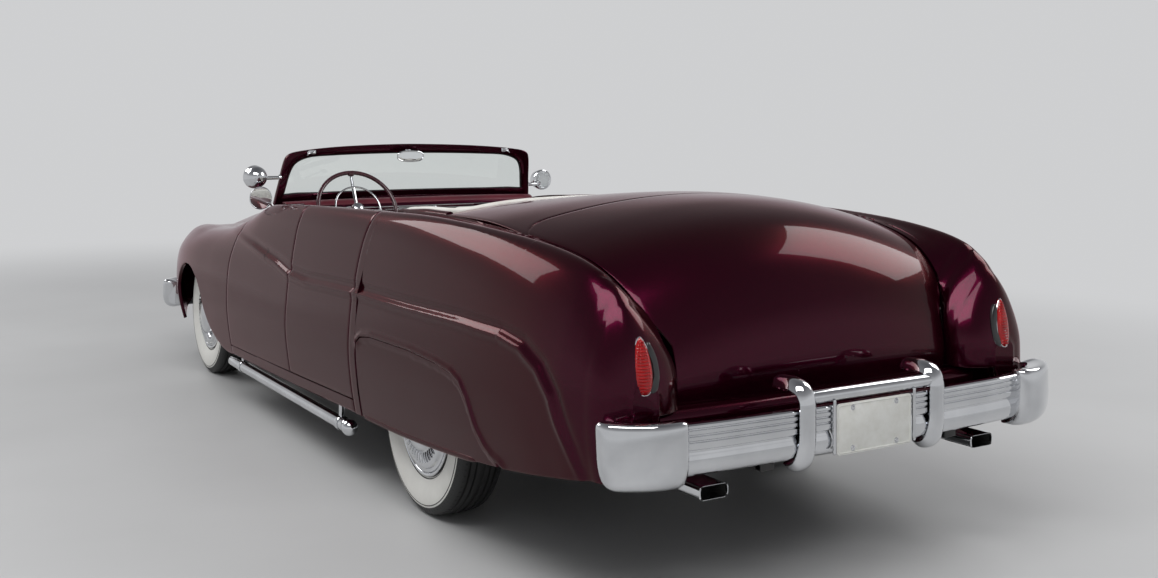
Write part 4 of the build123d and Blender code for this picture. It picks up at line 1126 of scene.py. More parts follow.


# Lamps, bumpers and plate at the tail. The red lens in the rear fender's pod is pointed at its
# top; the black piece on its inner side is painted shadow, put where the lamp's recess lies in shade
LENS_LINE = [(743, 811), (757, 790), (768, 755), (772, 715), (766, 676), (750, 654), (728, 654), (716, 672),
             (711, 705), (714, 745), (724, 785)]
PAINTED_SHADOW_LINE = [(722, 784), (711, 745), (708, 705), (713, 672), (722, 655), (703, 656), (690, 676), (685, 712),
              (690, 750), (703, 782), (714, 796)]


def on_tail(x, z, out):
    """Point on the tail's lamp face at x and z, out from it."""
    return (x, 2511 - max(0.0, z - 655) * 0.155 - max(0.0, x - 745) * 0.28 + out, z)


def build_taillights():
    lens_line = spline(LENS_LINE, 64, closed=True)
    glass = domed(lens_line, lambda x, z, out: on_tail(x, z, out + 1), 12, 12, 18,
                  lambda x, z: 1.6 * abs(sin(z / 9 * pi)))
    # Black dome on the lens's inner side: painted shadow where the lamp's recess lies in shade
    shade = domed(spline(PAINTED_SHADOW_LINE, 48, closed=True), on_tail, 7, 6, 16)
    rim = tube([on_tail(x, z, 1) for x, z in closed_line(spline(LENS_LINE, 72, closed=True))], 2.6, 8)
    ribs = []
    for z in range(664, 806, 9):
        inside = [x for x, height in lens_line if abs(height - z) < 5]
        middle, half = (min(inside) + max(inside)) / 2, (max(inside) - min(inside)) / 2 - 4
        crown = 13.2 * (0.6 + 0.4 * sin((z - 650) / 160 * pi))
        if half >= 6:
            ribs.append(tube([on_tail(middle + t * half, z, 1 + crown * sqrt(1 - abs(t) ** 3))
                              for t in np.linspace(-1, 1, 11)], 2.3, 6))
    parts = finished(RED, glass) + finished(BLACK_PLASTIC, shade)
    parts += finished(CHROME, rim) + finished(RED, *ribs)
    piece("tail_lamps", and_mirrored(parts), "body", "taillights", slot="red_lens")


build_taillights()


# Bumpers: paths in plan from the centre line out, and sections as (out, z)
BAR_BEND = np.array([(0, 2645), (300, 2640), (640, 2622), (760, 2600), (860, 2548), (882, 2500)], float)
CORNER_BEND = np.array([(675, 2650), (762, 2644), (850, 2602), (896, 2556), (906, 2500)], float)
REAR_BAR = np.array([(-44, 576), (-30, 581), (-12, 583), (-5, 582), (-1.5, 578), (-1, 571), (-4.5, 568.5),
                     (-4.5, 566), (-1, 563.5), (-1, 554), (-4.5, 551.5), (-4.5, 549), (-1, 546.5),
                     (-1, 537), (-4.5, 534.5), (-4.5, 532), (-1, 529.5), (-1, 517), (-3, 512), (-9, 508.5),
                     (-10, 504), (-7, 496), (-4, 480), (-5, 462), (-11, 446), (-22, 436), (-36, 431),
                     (-46, 431), (-47, 440), (-47, 568)])
REAR_CAP = np.array([(-66, 590), (-48, 596), (-30, 599), (-16, 599.5), (-7, 597), (-2, 591), (0, 580),
                     (0, 540), (0, 500), (-1.5, 476), (-5, 456), (-11, 438), (-22, 422), (-38, 411),
                     (-56, 406), (-68, 406), (-70, 414), (-70, 582)])
IRON_X, IRON_END_Y = 375, 2602
# An upright guard as (y, z) down its outer face, with its half width and depth at shares of it
GUARD_LINE = [(2504, 640), (2520, 661), (2558, 667), (2600, 667), (2634, 656), (2653, 636), (2661, 605),
              (2661.5, 560), (2661.5, 500), (2659, 465), (2650, 430), (2636, 410), (2612, 395), (2588, 392),
              (2564, 400)]
GUARD_SIZES = np.array([(0, 25, 24), (0.04, 32, 34), (0.16, 38, 40), (0.3, 37, 34), (0.42, 31, 20),
                        (0.64, 31, 20), (0.82, 37, 28), (0.93, 37, 30), (1, 26, 22)])


def bent_bar(path, out, outline, sink=0.0, squeeze=1.0, lean=0.0):
    """Bar with an outline of (out, z) points, bent along a path in plan."""
    middle = (outline[:, 1].max() + outline[:, 1].min()) / 2
    high = outline[:, 1] - middle
    rings = []
    for point, away, s, q, slip in zip(path, out,
                                       *(np.broadcast_to(v, len(path)) for v in (sink, squeeze, lean))):
        spot = point + away * (outline[:, :1] - s)
        rings.append(np.stack([spot[:, 0], spot[:, 1] + slip * high, middle + high * q], -1))
    return sweep(rings)


def bumper(sign, bar_outline, cap_outline):
    """Bar and corner caps of one bumper, sign 1 at the tail and -1 at the nose."""
    path = spline(both_halves(BAR_BEND[::-1] * (1, sign)), 121)
    bar = bent_bar(path, sign * outward(path), bar_outline)
    path = spline(CORNER_BEND * (1, sign), 46)
    share = np.linspace(0, 1, 46)
    near, far = np.clip(share / 0.10, 0, 1), np.clip((1 - share) / 0.09, 0, 1)
    sink = 26 * (1 - np.sqrt(1 - (1 - near) ** 2)) + 30 * (1 - np.sqrt(1 - (1 - far) ** 2))
    squeeze = 1 - 0.06 * (1 - near) ** 2 - 0.16 * (1 - far) ** 2
    cap = bent_bar(path, -sign * outward(path), cap_outline, sink, squeeze, -0.10 * sign * share**3)
    return finished(CHROME, bar, *and_mirrored([cap]))


def guards(sign, drop):
    """Two upright guards: horn-shaped pressings that hook over and under the bar."""
    line = spline(GUARD_LINE, 58)
    sections = []
    for (y, z), (in_y, in_z), share in zip(line, outward(line), np.linspace(0, 1, len(line))):
        width, deep = (np.interp(share, GUARD_SIZES[:, 0], sizes) for sizes in GUARD_SIZES.T[1:])
        ring = [(width * t, (deep - 8) * abs(t) ** 2.6) for t in np.linspace(-1, 1, 17)]
        ring += [(width * 0.97, deep - 4), (width * 0.7, deep), (-width * 0.7, deep),
                 (-width * 0.97, deep - 4)]
        sections.append([(264 + x, sign * (y + in_y * d), z - drop + in_z * d) for x, d in ring])
    return and_mirrored([sweep(sections)])


def build_rear_bumper():
    meshes = bumper(1, REAR_BAR, REAR_CAP)
    for x in (-IRON_X, IRON_X):
        arm = block((x, (2331 + IRON_END_Y) / 2, 425), (50, IRON_END_Y - 2331, 28), 3)
        foot = block((x, IRON_END_Y - 15, 445), (50, 26, 70), 3)
        bolts = [turned([(0, 0.1), (0, 9), (7, 9), (8, 0.1)], 6, (x, y, 438), UP) for y in (2370, 2430)]
        meshes += finished(CHASSIS, arm, foot, *bolts)
    piece("rear_bumper_bar", meshes, "body", "rear_bumper", slot="chrome")
    ends = [(-264, 0.1), (-262, 4), (-256, 13), (-246, 19), (-236, 20)]
    parts = guards(1, 0) + [turned(ends + [(-x, r) for x, r in ends[::-1]], 40, (0, 2632, 612))]
    for x in (-163, 163):
        parts.append(upright(rounded_rect(11, 9, 3.5, 4), x, 2649,
                             ((438, 0.3), (440, 0.8), (444, 1), (586, 1), (594, 1.05), (600, 0.9))))
    piece("rear_bumper_guards", parts, "body", "rear_guards", slot=None, finish=CHROME)


build_rear_bumper()


def build_front_bumper():
    low = REAR_BAR * (1, 140 / 152) + (0, 300 - 431 * 140 / 152)
    caps = REAR_CAP * (1, 174 / 193.5) + (0, 281 - 406 * 174 / 193.5)
    meshes = bumper(-1, low, caps)
    for x in (-IRON_X, IRON_X):
        meshes += finished(CHASSIS,
                           block((x, -(2396 + IRON_END_Y) / 2, 350), (50, IRON_END_Y - 2396, 28), 3),
                           block((x, -IRON_END_Y + 13, 362), (50, 26, 66), 3))
    piece("front_bumper_bar", meshes, "body", "front_bumper", slot="chrome")
    piece("front_bumper_guards", guards(-1, 130), "body", "front_guards", slot=None, finish=CHROME)


build_front_bumper()


def build_plate():
    plate = slab(rounded_rect(305, 152, 12, 6) + [0, 509], 2645.3, 3.4, 0.7)
    bead = frame_wire(spline(rounded_rect(292, 139, 9), 96, closed=True), (0, 2648.4, 509), 1.9)
    bolt = [(-3, 0.1), (-3, 9), (1.2, 9), (2.2, 7.6), (2.4, 6), (5, 5.6), (6.4, 3.6), (6.8, 0.1)]
    bolts = [turned(bolt, 24, (x, 2647.4, z), ASTERN) for x in (-89, 89) for z in (449, 569)]
    piece("plate_blank", finished(PLATE, plate, bead) + finished(CHROME, *bolts), "body", "number_plate",
          slot="plate_white")


build_plate()


def build_apron():
    """Body-colour panel under the lid, rolled in at its lower edge."""
    line = spline([(2420, 574), (2442, 574), (2456, 570), (2464, 560), (2466, 544), (2460, 504), (2440, 460),
                   (2398, 424), (2336, 407)], 40)
    rows = [[(x, y - 14 * (x / 563) ** 2 * (1 if y > 2380 else 0.3), z) for y, z in line]
            for x in np.linspace(648, -648, 47)]
    piece("rear_apron", [panel(rows, 8, 2)], "body", "rear_pan", finish=PAINT)


build_apron()


def build_pipes():
    """Exhausts with flattened mouths, and the side pipes under the rockers."""
    x, z = 549, 372
    mouth = [(2406, 42, 37.2), (2420, 58, 37.2), (2440, 100, 37.2), (2462, 100, 40), (2568, 100, 40),
             (2575, 103, 41.2), (2577, 101, 40.4), (2577, 95, 38), (2570, 92, 37.2), (2500, 91, 37.2)]
    tip = sweep([section(rounded_rect(wide, high, 14) + [x, z], y) for y, wide, high in mouth])
    colored(tip, CHROME, SOOT,
            pick=lambda p, n: p[1] > 2490 and abs(p[2] - z) < 18.2 and abs(p[0] - x) < 46.2)
    parts = [tip] + finished(STEEL, tube(np.linspace((x, 1564, z), (x, 2412, z), 20), 16, 20))
    for y in (1640, 2290):
        parts += finished(CHASSIS, block((484, y, 402), (100, 24, 8), 2),
                          block((541, y, 388), (15, 24, 32), 2),
                          turned([(-8, 16.5), (-8, 19), (8, 19), (8, 16.5)], 28, (x, y, z), ASTERN))
    piece("exhausts", and_mirrored(parts), "body", "exhaust_pipes", slot="chrome")

    x, z = 896, 196
    profile = [(-1025, 0.1), (-1024, 12), (-1018, 21), (-1006, 26), (-900, 26), (600, 26), (614, 26),
               (618, 22), (622, 19), (626, 24), (632, 29), (644, 32), (656, 32), (668, 28), (677, 20),
               (682, 10), (684, 0.1)]
    parts = [turned(profile, 40, (x, 0, z), ASTERN)]
    for y in (-820, 560):
        parts += [block((x, y, z + 40), (15, 29, 78), 2),
                  turned([(-16, 26.2), (-16, 29), (-13, 30), (13, 30), (16, 29), (16, 26.2)], 36, (x, y, z),
                         ASTERN)]
    piece("side_pipe_pair", and_mirrored(parts), "body", "side_pipes", slot=None, finish=CHROME)


build_pipes()


# Wheels, drawn round the X axis with their outer side towards +X
def wheel_mesh():
    cover = [(64, 196), (73, 199), (77, 197), (78, 190), (80, 186), (88, 182), (91, 176), (91.5, 168),
             (92, 126), (94, 122), (99, 119), (103, 113), (105, 104), (106, 92), (109, 76), (113, 58),
             (117, 40), (120, 22), (121, 0.1), (108, 0.1), (100, 50), (88, 115), (74, 176), (66, 186)]
    rim = [(-45, 26.5), (-45, 62), (8, 70), (8, 180), (-76, 181), (-80, 186), (-80, 210), (-78, 214),
           (-74, 214), (-72, 208), (-70, 200.2), (63, 200.2), (66, 207), (68, 213.6), (72, 214),
           (73.5, 212), (73, 206), (68, 201), (64, 194), (20, 184), (18, 150), (20, 110), (20, 70),
           (45, 62), (45, 26.5)]
    edge = [(73, 199.5), (76, 201), (79, 205), (79.5, 209), (77.5, 212.5), (74, 213.5), (73.6, 206),
            (66, 201)]
    fin = [(0, 166), (5.5, 164), (7.5, 150), (6.5, 134), (3, 127), (0, 125)]
    sections = []
    for side, lift in ((-1.0, 0.0), (-0.72, 0.75), (-0.3, 1.0), (0.3, 1.0), (0.72, 0.75), (1.0, 0.0)):
        ring = [(90.5 + a * lift, r) for a, r in fin] + [(89, r) for _, r in fin[::-1]]
        sections.append([(a, side * (2.2 + (r - 125) / 41 * 2), r) for a, r in ring])
    fins = repeated(sweep(sections), 44, CHROME, turn=(2 * pi / 44, 0, 0))
    lug = moved(turned([(18, 0.1), (18, 10), (30, 9.4), (31, 0.1)], 6), (0, 0, 57))
    lugs = repeated(lug, 5, STEEL, turn=(2 * pi / 5, 0, 0))
    return joined([fins, lugs] + finished(CHROME, turned(cover, 96), turned(edge, 96))
                  + finished(CHASSIS, turned(rim, 96)))


def tyre_mesh():
    carcass = [(-60, 200.4), (-66, 206), (-69, 215.5), (-82, 236), (-90, 258), (-94, 282), (-93, 302),
               (-89, 320), (-81, 336), (-74, 343.5), (-62, 346.5), (-55, 347.5), (-53, 341), (-48, 341),
               (-46, 349.5), (-32, 351), (-30, 343), (-25, 343), (-23, 351.2), (-9, 352), (-7, 344),
               (-2, 344)]
    tyre = turned(carcass + [(-a, r) for a, r in carcass[::-1]], 120)
    colored(tyre, TYRE, WHITEWALL, pick=lambda p, n: p[0] > 60 and 216 < hypot(p[1], p[2]) < 311)
    lug = [(-88, 321), (-84, 331), (-77, 340), (-66, 346.5), (-60, 347.6), (-60, 338), (-80, 326)]
    one = sweep([[(a, t + (a + 74) * 0.18, r + lift) for a, r in lug]
                 for t, lift in ((-6.2, -1.6), (-5.2, 0.6), (5.2, 0.6), (6.2, -1.6))])
    both = joined([one.copy(), moved(one, turn=Matrix.Rotation(pi, 4, "Z"))])
    beads = []
    for radius in (312, 222):
        x = looked_up([(r, -a) for a, r in carcass[:9]], radius)
        beads.append(turned([(x - 1, radius - 2.2), (x + 0.9, radius - 1.2), (x + 0.9, radius + 1.2),
                             (x - 1, radius + 2.2)], 96))
    return joined([tyre, repeated(both, 90, TYRE, turn=(2 * pi / 90, 0, 0))] + finished(TYRE, *beads))


def build_wheels():
    for name, node, slot, mesh in (("wheel_with_cover", "wheel", "chrome", wheel_mesh()),
                                   ("whitewall_tyre", "tyre", "tyre_rubber", tyre_mesh())):
        for place, track, y in (("front", 1486, FRONT_AXLE_Y), ("rear", 1524, REAR_AXLE_Y)):
            own = moved(mesh.copy(), (track / 2, y, TYRE_RADIUS))
            pair(f"{place}_{name}", [own], "{}_" + place + "_road_wheel", "{}_" + place + "_" + node,
                 slot=slot)


build_wheels()


# Windshield: the bends of its foot and of its header in plan, and the top of its frame
BASE_BEND = spline([(-735, -862), (-400, -938), (0, -968), (400, -938), (735, -862)], 120)
HEADER_BEND = spline([(-690, -764), (-380, -836), (0, -862), (380, -836), (690, -764)], 120)
FRAME_TOP = [(0, 1306), (150, 1304), (300, 1299.5), (420, 1293.5), (540, 1284.5), (620, 1275), (660, 1268)]
PANE_CORNER = [(610, 1231), (643, 1211), (660, 1185), (672, 1149), (682, 1100), (689, 1058)]


def screen_y(x, z):
    """Front face of the bowed windshield at x and z."""
    t = (z - 1000) / 320
    return looked_up(BASE_BEND, x) * (1 - t) + looked_up(HEADER_BEND, x) * t


def glass_top(x):
    return 1260 - 6 * (abs(x) / 380) ** 2 - 62 * np.clip((abs(x) - 520) / 148, 0, 1) ** 2.6


def build_windshield():
    outer = [(-738, 976), (-735, 1030), (-722, 1110), (-713, 1180), (-705, 1222), (-697, 1245), (-682, 1259)]
    outer += [(-x, looked_up(FRAME_TOP, x)) for x in (655, 600, 510, 390, 250, 120, 0)]
    inner = [(-690, 1052), (-688, 1066), (-682, 1100), (-672, 1150), (-660, 1186), (-643, 1212),
             (-612, 1231)]
    inner += [(x, glass_top(x) + 1) for x in (-570, -520, -450, -345, -220, -110, 0)]
    # The foot follows the cowl, which falls away towards the doors
    foot_outer = [(x, 1014 - 36 * (x / 640) ** 2.6) for x in (640, 520, 380, 190, 0)]
    foot_inner = [(612, 1054), (505, 1052), (372, 1052), (186, 1052), (0, 1052)]
    lines = [np.vstack([both_halves(top), both_halves(foot)])
             for top, foot in ((outer, foot_outer), (inner, foot_inner))]
    both = spline(np.hstack(lines), 200, closed=True)
    profile = [(0.0, 8), (0.03, 3), (0.10, 0.5), (0.22, 0), (0.5, -1), (0.8, 0), (0.92, 1.5), (0.98, 5),
               (1, 10), (1, 26), (0.97, 31), (0.9, 34), (0.5, 34.5), (0.1, 34), (0.03, 31), (0, 26)]
    sections = []
    for ox, oz, ix, iz in closed_line(both):
        ring = [(ix + (ox - ix) * t, iz + (oz - iz) * t, d) for t, d in profile]
        sections.append([(x, screen_y(x, z) + d, z) for x, z, d in ring])
    surround = finished(PAINT, sweep(sections, cap=False))
    seal = [(x, screen_y(x, z) + 20, z) for x, z in closed_line(both[:, 2:])]
    surround += finished(SEAL, tube(seal, 5.5, 10, False))
    # A bright latch stands at each end of the header, with a hook for a roof
    for side in (-1, 1):
        x, z = side * 560, 1262
        y = screen_y(x, z) + 34
        arm = spline([(x - side * 14, y + 10, z + 6), (x - side * 2, y + 15, z + 3),
                      (x + side * 16, y + 15, z - 2), (x + side * 24, y + 12, z - 10)], 12)
        surround += finished(CHROME, block((x, y + 4, z + 6), (46, 9, 22), 3),
                             tube(arm, np.linspace(5.5, 3.5, 12), 12))
    piece("windshield_surround", surround, "body", "windshield_frame")

    rows = []
    for x in spaced(689, 16, 610, 61, -610, 16, -689):
        top = glass_top(x) if abs(x) < 610 else looked_up(PANE_CORNER, abs(x))
        rows.append([(x, screen_y(x, z) + 17, z) for z in np.linspace(1050, top, 12)])
    piece("windshield_pane", [panel(rows, 6, 0.8)], "body", "windshield_glass", slot="clear_glass",
          finish=GLASS)


build_windshield()


def build_cabin_mirror():
    z = 1240
    a = np.arange(56) * 2 * pi / 56
    line = np.stack([size / 2 * np.abs(c) ** (2 / 2.6) * np.sign(c)
                     for size, c in ((150, np.cos(a)), (56, np.sin(a)))], -1)
    back = domed(line, lambda a, b, out: (a, -806 - out, z + b), 11, 7, 2)
    ring = frame_wire(line, (0, -802, z), 3.2)
    face = domed(line * 0.97, lambda a, b, out: (a, -802.5 + out, z + b), 1.2, 3, 1)
    stem = tube(spline([(0, -814, 1242), (0, -826, 1258), (0, -836, 1268), (0, -842, 1270)], 12), 6, 12)
    foot = block((0, -838, 1270), (30, 5, 12), 2)
    parts = finished(CHROME, back, ring, stem, foot) + finished(MIRROR, face)
    piece("cabin_mirror", parts, "body", "rear_view_mirror", slot="chrome")


build_cabin_mirror()


def build_spotlights():
    """Bright balls with a lamp's round mouth, on arms from the windshield posts."""
    shell = [(-36, 0.1), (-36, 20), (-38, 44), (-40, 52), (-37, 57), (-30, 58.5), (-22, 58), (-12, 56),
             (-2, 54), (12, 52.6), (26, 47.4), (38, 38.4), (47, 26.6), (52, 14.6), (54, 5), (54.4, 0.1)]
    glass = [(-33, 0.1), (-33, 51), (-37, 50), (-40, 38), (-42, 20), (-42.6, 0.1)]
    left_arm = [(715, -800, 1140), (760, -800, 1140), (800, -795, 1140), (826, -784, 1142)]
    right_arm = [(-725, -830, 1070), (-770, -830, 1070), (-806, -842, 1072), (-822, -868, 1080)]
    parts = []
    for (x, y, z), facing, bend in (((850, -763, 1147), 1, left_arm), ((-850, -900, 1092), -1, right_arm)):
        flutes = repeated(block((0, 0, -36), (1.4, 86, 2.2), 0.5, 1), 13, LAMP_GLASS, step=(0, 0, 6))
        across = Matrix.Rotation(pi / 2, 4, "Z") @ Matrix.Scale(0.85, 4, ASTERN)
        parts.append(moved(flutes, (x, y - facing * 41.2, z), across))
        parts += finished(LAMP_GLASS, turned(glass, 48, (x, y, z), (0, facing, 0)))
        arm = spline(bend, 20)
        parts += finished(
            CHROME, turned(shell, 56, (x, y, z), (0, facing, 0)), tube(arm, np.linspace(9, 10, 20), 20),
            turned([(-9, 9), (-9, 15), (-5, 17), (4, 14), (6, 9)], 28, arm[1], (facing, 0, 0)),
            turned([(-7, 9), (-6, 13), (0, 14.5), (6, 13), (7, 9)], 24, arm[-4], arm[-1] - arm[-6]))
    piece("spot_lamps", parts, "body", "spotlights", slot="chrome")


build_spotlights()


def build_door_mirror():
    """Round mirror on the left door's top."""
    spot = (850, -695, 1046)
    disc = [(-10, 0.1), (-9.4, 20), (-8, 40), (-4, 51), (1, 56), (6, 57), (8.5, 56.4), (9, 54), (7, 52.5),
            (6, 52), (0, 52), (0, 0.1)]
    face = [(0, 0.1), (0, 52.2), (6.4, 52.4), (6.9, 40), (7.2, 0.1)]
    foot = [(-2, 0.1), (-2, 17), (1, 18), (5, 15), (8, 9), (9, 0.1)]
    stalk = spline([(786, -690, 992), (790, -690, 1004), (800, -691, 1016), (820, -695, 1024),
                    (836, -700, 1030)], 18)
    parts = finished(CHROME, turned(disc, 64, spot, ASTERN), tube(stalk, np.linspace(8, 6, 18), 14),
                     turned(foot, 32, (784, -690, 991), UP))
    parts += finished(MIRROR, turned(face, 48, spot, ASTERN))
    piece("side_mirror", parts, "left_front_door_body", "door_mirror", slot="chrome")


build_door_mirror()


# Cabin fittings
def on_dash(x, y, z):
    """Point on the dashboard, which falls away a little towards its ends."""
    return (x, y, z - 6 * (abs(x) / 711) ** 4)


def gauge(x, r):
    """Round gauge with ticks only on its face."""
    spot = (x, -714, 936)
    bezel = turned([(0, 0.1), (0, r), (5, r + 1), (8, r - 1), (8.6, r - 4), (4, r - 6), (3, 0.1)], 48, spot,
                   ASTERN)
    dial = turned([(2, 0.1), (2, r - 5), (4.2, r - 6), (4.6, 0.1)], 40, spot, ASTERN)
    tick = block((5.2, 0, r - 12), (0.6, 1.4, r * 0.16), 0.2, 1)
    ticks = repeated(tick, 17, BLACK_PLASTIC, turn=(2 * pi / 24, 0, 0))
    hand = moved(block((0, 5.6, r * 0.28), (1.6, 0.8, r * 0.62), 0.3, 1), spot,
                 Matrix.Rotation(-0.9, 4, "Y"))
    hub = turned([(4, 0.1), (4, 4), (7, 3), (7.4, 0.1)], 16, spot, ASTERN)
    return (finished(CHROME, bezel, hub) + finished(DIAL_WHITE, dial) + finished(BLACK_PLASTIC, hand)
            + [moved(ticks, spot, Matrix.Rotation(pi / 2, 4, "Z"))])


def build_dashboard():
    face = spline([(-797, 1019), (-770, 1017), (-744, 1012), (-726, 1002), (-717, 986), (-715.5, 960),
                   (-717, 930), (-720, 900), (-727, 878), (-738, 862), (-752, 861)], 44)
    roll = spline([(-795, 1021), (-770, 1024), (-745, 1020), (-728, 1009), (-722, 1000)], 16)
    meshes = finished(PAINT,
                      panel([[on_dash(x, y, z) for y, z in face] for x in np.linspace(-711, 711, 73)], 9, 2))
    meshes += finished(CHERRY_VINYL,
                       panel([[on_dash(x, y, z) for y, z in roll] for x in np.linspace(-705, 705, 49)], 6,
                             2.5))
    for y, z, r in ((-713.5, 980, 3.2), (-713.5, 966, 2.2), (-717.5, 900, 2.6)):
        meshes += finished(CHROME, tube([on_dash(x, y, z) for x in np.linspace(-700, 700, 61)], r, 8))
    # Ahead of the wheel: a large gauge and four small ones
    for x, r in ((380, 52), (268, 24), (492, 24), (210, 18), (552, 18)):
        meshes += gauge(x, r)
    # Radio grille of upright bars in the middle, knobs below, and the glove box door on the right
    meshes.append(repeated(block((-102, -713.5, 936), (3.4, 5, 62), 1.2, 2), 30, CHROME, step=(7, 0, 0)))
    knob = [(-2, 0.1), (-2, 9), (3, 9), (5, 7), (14, 8.5), (17, 7), (18, 0.1)]
    for x in (-96, -48, 0, 48, 96):
        meshes += finished(RIM_PLASTIC if abs(x) < 60 else CHROME, turned(knob, 24, (x, -720, 884), ASTERN))
    meshes += finished(
        CHROME, frame_wire(rounded_rect(222, 74, 10), (0, -713, 936), 3),
        frame_wire(rounded_rect(300, 66, 12), (-420, -715, 934), 1.8),
        turned([(-2, 0.1), (-2, 9), (6, 8), (9, 4), (9.4, 0.1)], 24, (-420, -714, 916), ASTERN))
    piece("dash_panel", meshes, "body", "dashboard")


build_dashboard()

# The steering column's line leaves the wheel's hub forwards and down
HUB = (380, -594, 984)
COLUMN_AXIS = Vector((0, -cos(radians(30)), -sin(radians(30))))
COLUMN_TURN = Vector(LEFT).rotation_difference(COLUMN_AXIS).to_matrix()


def on_column(*meshes):
    """Places meshes that are drawn with the column's line along +X from the wheel's hub."""
    return [moved(mesh, HUB, COLUMN_TURN) for mesh in meshes]


def build_column():
    line = [(40, 0.1), (40, 23), (46, 24), (58, 24), (60, 22), (112, 22), (114, 23.6), (150, 23.6),
            (152, 21), (430, 21), (435, 20), (435, 0.1)]
    parts = finished(RIM_PLASTIC, *on_column(turned(line, 40)))
    parts += finished(CHROME, *on_column(turned([(60, 21), (61, 24), (70, 24), (71, 21)], 40)))
    start = np.array(Vector(HUB) + COLUMN_AXIS * 88)
    lever = spline([start + (-20, 0, 0), start + (-90, 12, 10), start + (-160, 26, 22)], 18)
    knob = [(-12, 0.1), (-11, 6), (-4, 10.5), (6, 10.5), (12, 7), (14, 0.1)]
    parts += finished(CHROME, tube(lever, np.linspace(5.5, 4, 18), 12))
    parts += finished(RIM_PLASTIC, turned(knob, 24, lever[-1], lever[-1] - lever[-3]))
    piece("column_and_lever", parts, "body", "steering_column", slot="wheel_plastic")


build_column()


def build_steering_wheel():
    """Rim with finger grips behind it, three spokes, a horn ring and a domed button."""
    rings = []
    for a in np.arange(192) * 2 * pi / 192:
        ring = []
        for b in np.arange(16) * 2 * pi / 16:
            r = 10.6 + 0.9 * cos(a * 72) * max(0.0, cos(b))
            across = 205 + r * sin(b)
            ring.append((r * cos(b), across * cos(a), across * sin(a)))
        rings.append(ring)
    plastic, bright = [sweep(rings + rings[:1], cap=False)], []
    _, flat_y, flat_z = COLUMN_TURN.inverted() @ Vector(LEFT)
    for angle in (90, 210, 330):
        a = atan2(flat_z, flat_y) + radians(angle)
        c, s = cos(a), sin(a)
        for side in (-6, 6):
            path = []
            for r in np.linspace(22, 200, 22):
                off = side * (1 - r / 500)
                path.append((4 + 6 * sin((r - 22) / 178 * pi), r * c - off * s, r * s + off * c))
            bright.append(tube(path, 4.2, 10, squash=0.8))
        plastic.append(turned([(-14, 9), (-13, 13), (0, 14.5), (13, 13), (14, 9)], 24,
                              (0, 200 * c, 200 * s), (0, -s, c)))
        bright.append(tube([(3 - 10 * r / 118, r * c, r * s) for r in np.linspace(28, 118, 10)], 3.4, 10))
    bright.append(tube([(-7, 118 * cos(t), 118 * sin(t)) for t in np.linspace(0, 2 * pi, 97)], 4.6, 12,
                       False))
    plastic.append(turned([(39, 0.1), (39, 28), (30, 32), (6, 32), (-2, 30), (-8, 26), (-9, 25), (-9, 0.1)],
                          48))
    bright.append(turned([(-8, 0.1), (-8, 26), (-11, 26.5), (-14, 24), (-17, 18), (-19, 9), (-19.6, 0.1)],
                         48))
    parts = finished(RIM_PLASTIC, *on_column(*plastic)) + finished(CHROME, *on_column(*bright))
    piece("wheel_and_horn_ring", parts, "steering_wheel_body", "steering_wheel", slot="wheel_plastic")


build_steering_wheel()


def build_pedals():
    """Pedals hung from the firewall, with ribbed pads."""
    lean = Matrix.Rotation(radians(-38), 3, "X")
    parts = []
    for x, wide, high, top, count in ((470, 54, 62, 470, 6), (385, 54, 62, 470, 6), (285, 46, 120, 430, 11)):
        rib = block((0, 6.8, -high * 0.4), (wide - 12, 3, 3.4), 1, 1)
        ribs = repeated(rib, count, SEAL, step=(0, 0, high * 0.8 / (count - 1)))
        arm = spline([(x, -868, top - 6), (x, -902, top + 26), (x, -932, top + 84), (x, -951, top + 128)],
                     18)
        parts += finished(SEAL, block((x, -862, top), (wide, 12, high), 4, 3, lean))
        parts += finished(CHROME, block((x, -867, top - 4), (wide - 8, 7, high - 8), 2, 2, lean))
        parts += finished(CHASSIS, tube(arm, 8, 12)) + [moved(ribs, (x, -862, top), lean)]
    piece("pedals", parts, "body", slot="tyre_rubber")


build_pedals()


# Nose, grille and headlights
GRILLE_Z = 540


